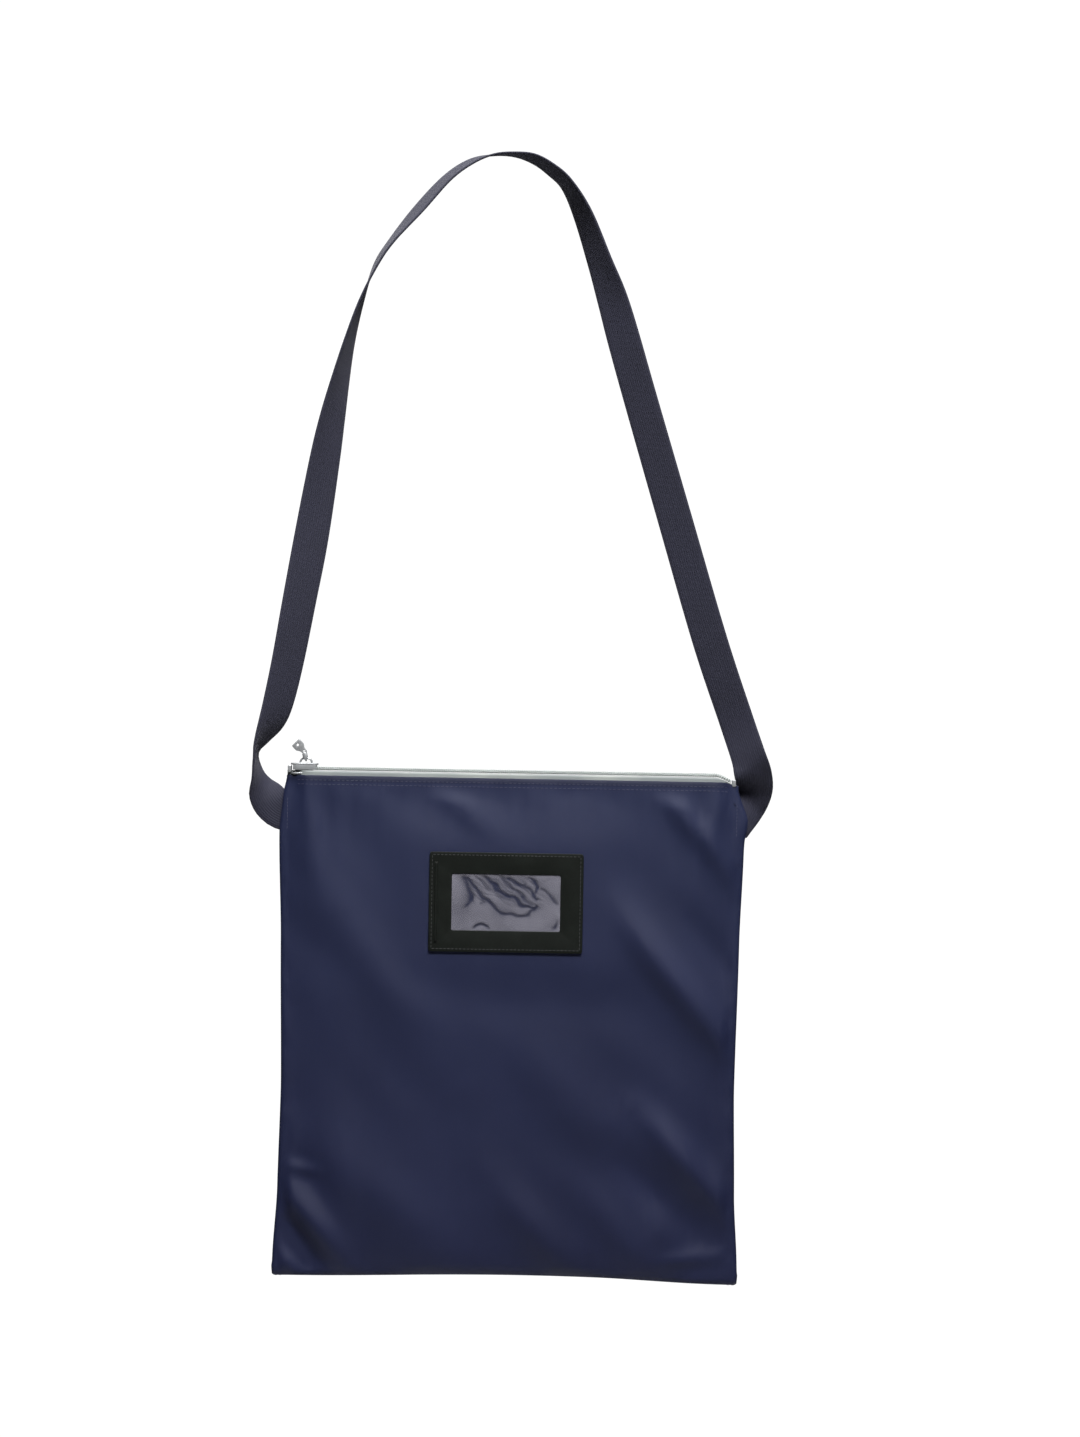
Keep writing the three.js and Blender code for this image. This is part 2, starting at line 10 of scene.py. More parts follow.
import bmesh
import bpy
from bpy.props import FloatProperty, FloatVectorProperty, IntProperty, PointerProperty
from bpy.types import Operator, Panel, PropertyGroup
from mathutils import Matrix, Vector, noise
from mathutils.bvhtree import BVHTree
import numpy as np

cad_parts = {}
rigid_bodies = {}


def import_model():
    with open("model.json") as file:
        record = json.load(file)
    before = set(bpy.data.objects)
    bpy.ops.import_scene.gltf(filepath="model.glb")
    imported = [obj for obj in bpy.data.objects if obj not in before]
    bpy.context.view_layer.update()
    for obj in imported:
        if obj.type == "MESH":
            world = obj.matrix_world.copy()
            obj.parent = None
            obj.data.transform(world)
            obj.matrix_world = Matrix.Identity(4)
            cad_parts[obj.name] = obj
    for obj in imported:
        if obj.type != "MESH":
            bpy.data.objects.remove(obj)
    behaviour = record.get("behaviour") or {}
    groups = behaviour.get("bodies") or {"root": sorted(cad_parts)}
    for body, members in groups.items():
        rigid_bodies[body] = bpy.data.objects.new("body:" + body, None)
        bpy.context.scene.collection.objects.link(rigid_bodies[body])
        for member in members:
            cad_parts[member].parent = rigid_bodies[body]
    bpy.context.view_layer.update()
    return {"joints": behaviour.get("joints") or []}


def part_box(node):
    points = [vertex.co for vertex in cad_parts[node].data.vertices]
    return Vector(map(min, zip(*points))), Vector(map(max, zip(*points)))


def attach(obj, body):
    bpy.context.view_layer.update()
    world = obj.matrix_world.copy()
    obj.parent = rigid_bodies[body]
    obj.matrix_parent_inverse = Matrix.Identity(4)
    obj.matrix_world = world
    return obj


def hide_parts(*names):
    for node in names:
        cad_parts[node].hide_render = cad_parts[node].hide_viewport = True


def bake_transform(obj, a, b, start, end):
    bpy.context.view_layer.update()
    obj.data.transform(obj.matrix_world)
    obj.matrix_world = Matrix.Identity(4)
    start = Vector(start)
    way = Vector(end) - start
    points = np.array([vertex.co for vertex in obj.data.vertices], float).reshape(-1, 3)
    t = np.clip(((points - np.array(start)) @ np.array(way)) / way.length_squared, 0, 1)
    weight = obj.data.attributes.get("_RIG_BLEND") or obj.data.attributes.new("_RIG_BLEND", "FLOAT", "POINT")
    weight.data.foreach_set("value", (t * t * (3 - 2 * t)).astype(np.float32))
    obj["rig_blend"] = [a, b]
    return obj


bl_info = {
    "name": "Cash Deposit Bag",
    "version": (1, 0, 0),
    "blender": (4, 5, 0),
    "location": "View3D > Sidebar > Deposit Bag",
    "description": "Builds a zipped cash deposit bag with a webbing strap and a card window",
    "category": "Object",
}

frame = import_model()
MM = 0.001

# ---- places taken from the frame ----
PANEL_LOW, PANEL_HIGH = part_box("front_panel")
HEM_Z = PANEL_HIGH.z
BASE_Z = PANEL_LOW.z
FLAT_Y = -PANEL_LOW.y
TAPE_LOW, TAPE_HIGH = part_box("zip_tape_front")
COIL_LOW, COIL_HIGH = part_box("zip_coil_front")
ID_LOW, ID_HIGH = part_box("id_frame")
SLIDER_LOW, SLIDER_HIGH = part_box("slider_body")
CROWN_LOW, CROWN_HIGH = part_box("slider_crown")
RING_JOINT = next(j for j in frame["joints"] if j["name"] == "ring_swing")
TAB_JOINT = next(j for j in frame["joints"] if j["name"] == "tab_swing")


# ---- small helpers ----
def smoothstep(t):
    """0 below 0, 1 above 1, and a soft step between."""
    t = min(max(t, 0.0), 1.0)
    return t * t * (3 - 2 * t)


def mix(a, b, t):
    return a + (b - a) * t


def spline_at(knots, t):
    """A point on the Catmull-Rom curve through knots, with t from 0 at the first to 1 at the last."""
    last = len(knots) - 1
    s = min(max(t, 0.0), 1.0) * last
    i = min(int(s), last - 1)
    f = s - i
    p1, p2 = knots[i], knots[i + 1]
    p0 = knots[i - 1] if i > 0 else p1 * 2 - p2
    p3 = knots[i + 2] if i + 2 <= last else p2 * 2 - p1
    a = p1 * 2
    b = (p2 - p0) * f
    c = (p0 * 2 - p1 * 5 + p2 * 4 - p3) * (f * f)
    d = (p1 * 3 - p0 - p2 * 3 + p3) * (f * f * f)
    return (a + b + c + d) * 0.5


def link(name, mesh, material):
    """Adds an object at the origin that holds mesh, smooth shaded, with one material."""
    obj = bpy.data.objects.new(name, mesh)
    bpy.context.scene.collection.objects.link(obj)
    mesh.materials.clear()
    mesh.materials.append(material)
    mesh.shade_smooth()
    return obj


def mesh_from(bm, name):
    """Writes a bmesh to a new mesh with its normals facing out, and frees it."""
    bmesh.ops.recalc_face_normals(bm, faces=bm.faces[:])
    mesh = bpy.data.meshes.new(name)
    bm.to_mesh(mesh)
    bm.free()
    return mesh


def declare(obj, body, slot, *nodes):
    """The piece rides on body and stands for the named nodes; slot is not used."""
    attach(obj, body)
    if nodes:
        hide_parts(*nodes)


def thick_sheet(bm, name, material, thickness):
    """An open sheet with its faces as they stand in bm, thickened inwards; frees bm."""
    mesh = bpy.data.meshes.new(name)
    bm.to_mesh(mesh)
    bm.free()
    obj = link(name, mesh, material)
    shell = obj.modifiers.new("thickness", "SOLIDIFY")
    shell.thickness = thickness
    shell.offset = -1
    return obj


def bake_modifiers(obj):
    """Replaces obj's mesh by the one that its modifiers make."""
    depsgraph = bpy.context.evaluated_depsgraph_get()
    depsgraph.update()
    baked = bpy.data.meshes.new_from_object(obj.evaluated_get(depsgraph))
    obj.modifiers.clear()
    old = obj.data
    obj.data = baked
    bpy.data.meshes.remove(old)


def rounded_outline(points, radius, steps=5):
    """A closed outline with each corner turned into an arc of about the given radius."""
    outline = []
    count = len(points)
    for i, point in enumerate(points):
        here = Vector(point)
        before = (Vector(points[i - 1]) - here).normalized()
        after = (Vector(points[(i + 1) % count]) - here).normalized()
        start, end = here + before * radius, here + after * radius
        for k in range(steps + 1):
            t = k / steps
            outline.append(start.lerp(here, t).lerp(here.lerp(end, t), t))
    return outline


def circle_outline(centre, radius, steps=24):
    turn = 2 * math.pi / steps
    return [Vector((centre[0] + radius * math.cos(k * turn), centre[1] + radius * math.sin(k * turn)))
            for k in range(steps)]


def plate_bmesh(outlines, thickness, bevel, bevel_steps=2):
    """A bevelled plate in X and Y about z = 0; the first outline is its rim and the rest are holes."""
    curve = bpy.data.curves.new("plate", "CURVE")
    curve.dimensions = "2D"
    curve.fill_mode = "BOTH"
    curve.extrude = thickness / 2 - bevel
    curve.bevel_depth = bevel
    curve.bevel_resolution = bevel_steps
    curve.offset = -bevel
    for outline in outlines:
        spline = curve.splines.new("POLY")
        spline.points.add(len(outline) - 1)
        for p, (x, y) in zip(spline.points, outline):
            p.co = (x, y, 0, 1)
        spline.use_cyclic_u = True
    obj = bpy.data.objects.new("plate", curve)
    bpy.context.scene.collection.objects.link(obj)
    depsgraph = bpy.context.evaluated_depsgraph_get()
    mesh = bpy.data.meshes.new_from_object(obj.evaluated_get(depsgraph))
    bm = bmesh.new()
    bm.from_mesh(mesh)
    bpy.data.objects.remove(obj)
    bpy.data.curves.remove(curve)
    bpy.data.meshes.remove(mesh)
    bmesh.ops.remove_doubles(bm, verts=bm.verts[:], dist=1e-6)
    return bm


def tube_bmesh(points, section, acrosses, closed=False, uv=None):
    """A tube through points: section holds (across, through) offsets and acrosses one direction a point.

    uv names a map that holds each place's offset across and its run along, in metres.
    """
    bm = bmesh.new()
    count, size = len(points), len(section)
    rows = count if closed else count - 1
    made = bmesh.ops.create_grid(bm, x_segments=size, y_segments=rows, size=1.0)["verts"]
    frames = []
    run = 0.0
    for i, point in enumerate(points):
        before = points[i - 1] if closed or i else point
        after = points[(i + 1) % count] if closed or i < count - 1 else point
        through = (after - before).cross(acrosses[i]).normalized()
        across = through.cross(after - before).normalized()
        run += (point - points[i - 1]).length if i else 0.0
        frames.append((point, across, through, run))
    layer = bm.loops.layers.uv.new(uv) if uv else None
    for v in made:
        k = round((v.co.x + 1) / 2 * size) % size
        i = round((v.co.y + 1) / 2 * rows) % count
        point, across, through, run = frames[i]
        a, b = section[k]
        if layer:
            for loop in v.link_loops:
                loop[layer].uv = (a, run)
        v.co = point + across * a + through * b
    bmesh.ops.remove_doubles(bm, verts=bm.verts[:], dist=1e-7)
    if not closed:
        ends = [e for e in bm.edges if e.is_boundary]
        bmesh.ops.holes_fill(bm, edges=ends, sides=0)
    return bm


def round_section(radius, sides):
    turn = 2 * math.pi / sides
    return [(radius * math.cos(k * turn), radius * math.sin(k * turn)) for k in range(sides)]


# the five places round a strip's half-round edge, in radians
EDGE_ANGLES = (-1.57, -0.78, 0.0, 0.78, 1.57)


def flat_section(width, thickness, steps):
    """A flat strip's section with half-round edges and `steps` faces across each side."""
    radius = thickness / 2
    flat = width / 2 - radius
    right = [(flat + radius * math.cos(a), radius * math.sin(a)) for a in EDGE_ANGLES]
    top = [(mix(flat, -flat, k / steps), radius) for k in range(1, steps)]
    left = [(-x, -y) for x, y in right]
    base = [(-x, -y) for x, y in top]
    return right + top + left + base


# ---- shader node groups ----
class Nodes:
    """Short ways to add and join the nodes of one node tree."""

    def __init__(self, tree):
        self.tree = tree

    def add(self, kind, **values):
        node = self.tree.nodes.new(kind)
        for key, value in values.items():
            setattr(node, key, value)
        return node

    def join(self, source, target):
        self.tree.links.new(source, target)

    def put(self, target, value):
        if isinstance(value, bpy.types.NodeSocket):
            self.join(value, target)
        else:
            target.default_value = value

    def math(self, operation, a, b=None, c=None, clamp=False):
        node = self.add("ShaderNodeMath", operation=operation, use_clamp=clamp)
        for socket, value in zip(node.inputs, (a, b, c)):
            if value is not None:
                self.put(socket, value)
        return node.outputs[0]

    def ramp(self, factor, low, high, low_value=0.0, high_value=1.0):
        node = self.add("ShaderNodeMapRange")
        self.put(node.inputs["Value"], factor)
        node.inputs["From Min"].default_value = low
        node.inputs["From Max"].default_value = high
        node.inputs["To Min"].default_value = low_value
        node.inputs["To Max"].default_value = high_value
        return node.outputs["Result"]

    def colour(self, factor, a, b, blend="MIX"):
        node = self.add("ShaderNodeMix", data_type="RGBA", blend_type=blend)
        self.put(node.inputs["Factor"], factor)
        self.put(node.inputs["A"], a)
        self.put(node.inputs["B"], b)
        return node.outputs["Result"]

    def noise(self, vector, scale, detail=2.0, roughness=0.5):
        node = self.add("ShaderNodeTexNoise")
        self.put(node.inputs["Vector"], vector)
        self.put(node.inputs["Scale"], scale)
        node.inputs["Detail"].default_value = detail
        node.inputs["Roughness"].default_value = roughness
        return node.outputs["Fac"]

    def mapping(self, vector, scale=(1, 1, 1), turn=(0, 0, 0), shift=(0, 0, 0)):
        node = self.add("ShaderNodeMapping")
        self.put(node.inputs["Vector"], vector)
        node.inputs["Scale"].default_value = scale
        node.inputs["Rotation"].default_value = turn
        node.inputs["Location"].default_value = shift
        return node.outputs[0]


def node_group(name, inputs, outputs, build):
    """A shader node group with the given (name, kind, default) inputs and (name, kind) outputs."""
    if name in bpy.data.node_groups:
        return bpy.data.node_groups[name]
    tree = bpy.data.node_groups.new(name, "ShaderNodeTree")
    for label, kind, default in inputs:
        socket = tree.interface.new_socket(label, in_out="INPUT", socket_type=kind)
        if default is not None:
            socket.default_value = default
    for label, kind in outputs:
        tree.interface.new_socket(label, in_out="OUTPUT", socket_type=kind)
    n = Nodes(tree)
    start = n.add("NodeGroupInput")
    end = n.add("NodeGroupOutput")
    build(n, start.outputs, end.inputs)
    return tree


VECTOR, VALUE = "NodeSocketVector", "NodeSocketFloat"


def plain_weave_group():
    """Over-and-under threads. Pitch is one thread's width; Height and Gap run from 0 to 1."""

    def build(n, given, out):
        split = n.add("ShaderNodeSeparateXYZ")
        n.join(given["Vector"], split.inputs[0])
        turns = n.math("DIVIDE", math.pi, given["Pitch"])
        across = n.math("MULTIPLY", split.outputs["X"], turns)
        along = n.math("MULTIPLY", split.outputs["Z"], turns)
        # which thread lies on top alternates from one crossing to the next
        over = n.math("MULTIPLY", n.math("SINE", across), n.math("SINE", along))
        warp = n.math("ABSOLUTE", n.math("SINE", across))
        weft = n.math("ABSOLUTE", n.math("SINE", along))
        crossing = n.ramp(over, -0.2, 0.2)
        height = n.math("MULTIPLY_ADD", n.math("SUBTRACT", warp, weft), crossing, weft)
        n.join(height, out["Height"])
        gap = n.math("SUBTRACT", 1.0, n.math("MAXIMUM", warp, weft))
        n.join(gap, out["Gap"])

    return node_group(
        "plain weave",
        [("Vector", VECTOR, None), ("Pitch", VALUE, 0.0005)],
        [("Height", VALUE), ("Gap", VALUE)],
        build,
    )


def webbing_group():
    """Ribbed narrow weaving on a strip's own UV, in metres: ribs run along it, picks cross it."""

    def build(n, given, out):
        split = n.add("ShaderNodeSeparateXYZ")
        n.join(given["Vector"], split.inputs[0])
        rib_turn = n.math("DIVIDE", math.pi, given["Rib"])
        pick_turn = n.math("DIVIDE", math.pi, given["Pick"])
        across = n.math("MULTIPLY", split.outputs["X"], rib_turn)
        along = n.math("MULTIPLY", split.outputs["Y"], pick_turn)
        rib = n.math("ABSOLUTE", n.math("SINE", across))
        side = n.math("SIGN", n.math("SINE", across))
        # neighbouring ribs slant opposite ways, as a herringbone
        slant = n.math("MULTIPLY_ADD", rib, n.math("MULTIPLY", side, 0.9), along)
        pick = n.math("ABSOLUTE", n.math("SINE", slant))
        height = n.math("MULTIPLY_ADD", pick, 0.45, n.math("MULTIPLY", rib, 0.55))
        n.join(height, out["Height"])

    return node_group(
        "ribbed webbing",
        [("Vector", VECTOR, None), ("Rib", VALUE, 0.0016), ("Pick", VALUE, 0.0009)],
        [("Height", VALUE)],
        build,
    )


def wear_group():
    """Slow unevenness for a surface: Patch is broad and soft, Speck is fine."""

    def build(n, given, out):
        n.join(n.noise(given["Vector"], given["Patch Scale"], 3.0, 0.55), out["Patch"])
        n.join(n.noise(given["Vector"], given["Speck Scale"], 4.0, 0.6), out["Speck"])

    return node_group(
        "unevenness",
        [("Vector", VECTOR, None), ("Patch Scale", VALUE, 18.0), ("Speck Scale", VALUE, 900.0)],
        [("Patch", VALUE), ("Speck", VALUE)],
        build,
    )


def new_material(name):
    """An empty node material, its nodes helper and its Principled shader."""
    material = bpy.data.materials.new(name)
    material.use_nodes = True
    material.node_tree.nodes.clear()
    n = Nodes(material.node_tree)
    shader = n.add("ShaderNodeBsdfPrincipled")
    output = n.add("ShaderNodeOutputMaterial")
    n.join(shader.outputs[0], output.inputs["Surface"])
    return material, n, shader


def object_coordinates(n):
    return n.add("ShaderNodeTexCoord").outputs["Object"]


def own_uv(n, name="strip"):
    return n.add("ShaderNodeUVMap", uv_map=name).outputs[0]


def use_group(n, group, **inputs):
    node = n.add("ShaderNodeGroup", node_tree=group)
    for key, value in inputs.items():
        n.put(node.inputs[key.replace("_", " ")], value)
    return node.outputs


def bump(n, shader, height, distance, strength=1.0):
    node = n.add("ShaderNodeBump")
    node.inputs["Strength"].default_value = strength
    node.inputs["Distance"].default_value = distance
    n.put(node.inputs["Height"], height)
    n.join(node.outputs[0], shader.inputs["Normal"])


def solid(colour):
    return (*colour, 1.0)


def shade(colour, factor):
    return tuple(c * factor for c in colour)


def two_tone(n, factor, colour, dark, light):
    """Runs from a darker to a lighter shade of one colour."""
    return n.colour(factor, solid(shade(colour, dark)), solid(shade(colour, light)))


def wear_at(n, place, patch_scale, speck_scale):
    return use_group(n, wear_group(), Vector=place, Patch_Scale=patch_scale, Speck_Scale=speck_scale)


# ---- materials ----
# the lighter cloth colour painted in towards the zip, as painted light from above
PAINTED_LIGHT_CLOTH = (0.0118, 0.0168, 0.050)


def coated_nylon(settings):
    """Close plain weave with a satin coating, slightly cloudy, with lighter rubbed thread tops; light and
    shade are painted in: lighter towards the zip, darker at the hem's fold and in the weave's gaps.
    """
    material, n, shader = new_material("coated_nylon")
    place = object_coordinates(n)
    weave = use_group(n, plain_weave_group(), Vector=place, Pitch=settings.thread_pitch)
    wear = wear_at(n, place, 14.0, 1400.0)
    colour = tuple(settings.cloth_colour)
    cloudy = two_tone(n, n.ramp(wear["Patch"], 0.3, 0.7), colour, 0.88, 1.1)
    split = n.add("ShaderNodeSeparateXYZ")
    n.join(place, split.inputs[0])
    uneven = n.math("MULTIPLY_ADD", wear["Patch"], 0.12, split.outputs["Z"])
    # the cloth is painted lighter towards the zip and darker towards the bottom, as painted light from above
    lightened = n.colour(n.ramp(uneven, BASE_Z, HEM_Z + 0.08, 0.0, 0.9), cloudy, solid(PAINTED_LIGHT_CLOTH))
    # painted shade along the stitched fold of the hem, just under the zip
    hem_shade = n.ramp(split.outputs["Z"], HEM_Z - 4.5 * MM, HEM_Z - 1.5 * MM, 0.0, 0.7)
    hemmed = n.colour(hem_shade, lightened, solid(shade(colour, 0.5)))
    # the weave's gaps are painted darker, as painted shade between the threads
    threads = n.colour(n.math("MULTIPLY", weave["Gap"], 0.5), hemmed, solid(shade(colour, 0.45)))
    streak = n.noise(n.mapping(place, scale=(900, 900, 9)), 1.0, 2.0)
    picked = n.colour(n.ramp(streak, 0.45, 0.75, 0.0, 0.05), threads, solid(shade(colour, 1.9)))
    n.join(picked, shader.inputs["Base Color"])
    rough = n.math("MULTIPLY_ADD", wear["Patch"], 0.12, n.ramp(wear["Speck"], 0.2, 0.8, 0.42, 0.54))
    n.join(rough, shader.inputs["Roughness"])
    shader.inputs["Specular IOR Level"].default_value = 0.25
    shader.inputs["Sheen Weight"].default_value = 0.02
    shader.inputs["Sheen Roughness"].default_value = 0.35
    shader.inputs["Sheen Tint"].default_value = (0.62, 0.66, 0.9, 1.0)
    relief = n.math("MULTIPLY_ADD", wear["Speck"], 0.35, weave["Height"])
    bump(n, shader, relief, 0.00009, 0.75)
    return material


def webbing_material(settings):
    """Herringbone-ribbed strap webbing with a little fuzz; its grooves are painted darker and its rib tops
    lighter, as painted shade and light.
    """
    material, n, shader = new_material("strap_webbing")
    uv = own_uv(n)
    ribs = use_group(n, webbing_group(), Vector=uv, Rib=settings.rib_pitch, Pick=0.00085)
    wear = wear_at(n, object_coordinates(n), 30.0, 1600.0)
    colour = tuple(settings.webbing_colour)
    # painted light and shade: rib tops lighter, grooves darker, following the ribs' height
    base = two_tone(n, n.ramp(ribs["Height"], 0.15, 0.85), colour, 0.5, 1.22)
    lightened = n.colour(n.ramp(wear["Patch"], 0.35, 0.75, 0.0, 0.4), base, solid(shade(colour, 1.45)))
    fuzz = n.colour(n.ramp(wear["Speck"], 0.55, 0.8, 0.0, 0.35), lightened, solid(shade(colour, 2.1)))
    n.join(fuzz, shader.inputs["Base Color"])
    n.join(n.ramp(wear["Speck"], 0.2, 0.8, 0.62, 0.8), shader.inputs["Roughness"])
    shader.inputs["Specular IOR Level"].default_value = 0.25
    shader.inputs["Sheen Weight"].default_value = 0.1
    shader.inputs["Sheen Roughness"].default_value = 0.5
    shader.inputs["Sheen Tint"].default_value = (0.75, 0.75, 0.85, 1.0)
    relief = n.math("MULTIPLY_ADD", wear["Speck"], 0.25, ribs["Height"])
    bump(n, shader, relief, 0.0003, 0.8)
    return material


def tape_material(settings):
    """Pale woven zip tape with fine cross ribs and grubbier patches."""
    material, n, shader = new_material("zip_tape_weave")
    uv = own_uv(n)
    ribs = use_group(n, webbing_group(), Vector=uv, Rib=0.0007, Pick=0.0005)
    wear = wear_at(n, object_coordinates(n), 22.0, 1500.0)
    colour = tuple(settings.tape_colour)
    # painted light and shade: rib tops lighter, hollows darker, following the ribs' height
    base = two_tone(n, n.ramp(ribs["Height"], 0.1, 0.8), colour, 0.72, 1.08)
    grubby = n.colour(n.ramp(wear["Patch"], 0.45, 0.75, 0.0, 0.5), base, solid((0.4, 0.42, 0.38)))
    n.join(grubby, shader.inputs["Base Color"])
    n.join(n.ramp(wear["Speck"], 0.2, 0.8, 0.68, 0.85), shader.inputs["Roughness"])
    shader.inputs["Sheen Weight"].default_value = 0.15
    bump(n, shader, ribs["Height"], 0.00012, 0.7)
    return material


def coil_material(settings):
    """Milky nylon filament: semi-gloss, slightly translucent, with tiny drawing lines."""
    material, n, shader = new_material("coil_filament")
    place = object_coordinates(n)
    wear = wear_at(n, place, 40.0, 2400.0)
    colour = tuple(settings.coil_colour)
    base = two_tone(n, n.ramp(wear["Patch"], 0.3, 0.7), colour, 0.88, 1.05)
    n.join(base, shader.inputs["Base Color"])
    n.join(n.ramp(wear["Speck"], 0.2, 0.8, 0.3, 0.45), shader.inputs["Roughness"])
    shader.inputs["Subsurface Weight"].default_value = 0.12
    shader.inputs["Subsurface Scale"].default_value = 0.0004
    shader.inputs["Subsurface Radius"].default_value = (1.0, 1.0, 0.9)
    bump(n, shader, wear["Speck"], 0.00003, 0.4)
    return material


def nickel_material(settings):
    """Polished nickel plate with hairline scratches, faint smears and duller worn spots."""
    material, n, shader = new_material("nickel_plate")
    place = object_coordinates(n)
    wear = wear_at(n, place, 260.0, 3000.0)
    hairs = n.noise(n.mapping(place, scale=(400, 6000, 6000), turn=(0.2, 0.5, 0.3)), 1.0, 3.0)
    colour = tuple(settings.nickel_colour)
    base = n.colour(n.ramp(wear["Patch"], 0.4, 0.7), solid(colour), solid(shade(colour, 0.82)))
    n.join(base, shader.inputs["Base Color"])
    # the plate has gone milky with handling, so part of it scatters light
    n.join(n.ramp(wear["Patch"], 0.3, 0.75, 0.6, 0.45), shader.inputs["Metallic"])
    smear = n.ramp(wear["Patch"], 0.3, 0.75, 0.36, 0.5)
    n.join(n.math("MULTIPLY_ADD", n.ramp(hairs, 0.6, 0.75), 0.12, smear), shader.inputs["Roughness"])
    bump(n, shader, hairs, 0.00002, 0.25)
    return material


def vinyl_material(settings):
    """Soft black vinyl: pebbled grain, slight sheen, paler along handled spots."""
    material, n, shader = new_material("grained_vinyl")
    place = object_coordinates(n)
    cells = n.add("ShaderNodeTexVoronoi", feature="DISTANCE_TO_EDGE")
    n.join(place, cells.inputs["Vector"])
    cells.inputs["Scale"].default_value = 1500.0
    wear = wear_at(n, place, 60.0, 1800.0)
    pebble = n.ramp(cells.outputs["Distance"], 0.0, 0.25)
    colour = tuple(settings.vinyl_colour)
    # painted light and shade: pebble tops lighter, the valleys between them darker
    base = two_tone(n, pebble, colour, 0.6, 1.15)
    scuffed = n.colour(n.ramp(wear["Patch"], 0.55, 0.8, 0.0, 0.35), base, solid(shade(colour, 2.2)))
    n.join(scuffed, shader.inputs["Base Color"])
    n.join(n.ramp(wear["Patch"], 0.3, 0.7, 0.46, 0.6), shader.inputs["Roughness"])
    shader.inputs["Specular IOR Level"].default_value = 0.15
    bump(n, shader, n.math("MULTIPLY_ADD", wear["Speck"], 0.3, pebble), 0.00008, 0.6)
    return material


def film_material(settings):
    """Clear pocket film, hazy with age: creases are clearer than the flats between, and their colour is
    painted darker as painted shade.
    """
    material, n, shader = new_material("pocket_film")
    place = object_coordinates(n)
    wear = wear_at(n, place, 55.0, 1200.0)
    crease = n.add("ShaderNodeAttribute", attribute_name="crease").outputs["Fac"]
    colour = tuple(settings.film_colour)
    base = two_tone(n, n.ramp(wear["Patch"], 0.3, 0.7), colour, 0.85, 1.1)
    # painted shade: the film's colour goes darker along the creases
    n.join(n.colour(crease, base, solid(shade(colour, 0.3))), shader.inputs["Base Color"])
    n.join(n.ramp(wear["Patch"], 0.3, 0.7, 0.1, 0.22), shader.inputs["Roughness"])
    haze = n.ramp(wear["Patch"], 0.25, 0.75, settings.film_haze - 0.06, settings.film_haze + 0.08)
    n.join(n.math("SUBTRACT", haze, n.math("MULTIPLY", crease, 0.35), clamp=True), shader.inputs["Alpha"])
    shader.inputs["Specular IOR Level"].default_value = 0.6
    bump(n, shader, wear["Patch"], 0.0002, 0.5)
    return material


def thread_material(name, colour):
    """Twisted polyester sewing thread."""
    material, n, shader = new_material(name)
    place = object_coordinates(n)
    twist = n.noise(n.mapping(place, scale=(2600, 2600, 2600), turn=(0.0, 0.7, 0.0)), 1.0, 1.0)
    # painted light and shade: raised plies lighter, hollows between them darker
    n.join(two_tone(n, twist, colour, 0.7, 1.35), shader.inputs["Base Color"])
    n.join(n.ramp(twist, 0.3, 0.7, 0.5, 0.65), shader.inputs["Roughness"])
    shader.inputs["Sheen Weight"].default_value = 0.2
    bump(n, shader, twist, 0.00005, 0.6)
    return material


def binding_material(settings):
    """Dark binding tape over the raw edges inside the bag."""
    material, n, shader = new_material("seam_binding_tape")
    place = object_coordinates(n)
    weave = use_group(n, plain_weave_group(), Vector=place, Pitch=0.0008)
    colour = tuple(settings.binding_colour)
    # painted light and shade: thread tops lighter, hollows darker, following the weave's height
    n.join(two_tone(n, weave["Height"], colour, 0.6, 1.3),
           shader.inputs["Base Color"])
    n.join(n.ramp(weave["Gap"], 0.0, 0.6, 0.7, 0.85), shader.inputs["Roughness"])
    bump(n, shader, weave["Height"], 0.00012, 0.6)
    return material


def floor_material():
    """Matt pale studio paper, very slightly uneven."""
    material, n, shader = new_material("studio_paper")
    place = object_coordinates(n)
    uneven = n.noise(place, 2.0, 2.0)
    paper = n.colour(uneven, solid((0.93, 0.93, 0.93)), solid((0.96, 0.96, 0.96)))
    n.join(paper, shader.inputs["Base Color"])
    shader.inputs["Roughness"].default_value = 0.9
    shader.inputs["Specular IOR Level"].default_value = 0.1
    return material


# ---- settings ----
def colour_property(name, description, default):
    return FloatVectorProperty(
        name=name, description=description, subtype="COLOR", default=default, min=0, max=1)


def length_property(name, description, default):
    """A small length, shown to a hundredth of a millimetre."""
    return FloatProperty(
        name=name, description=description, default=default, unit="LENGTH", precision=5)


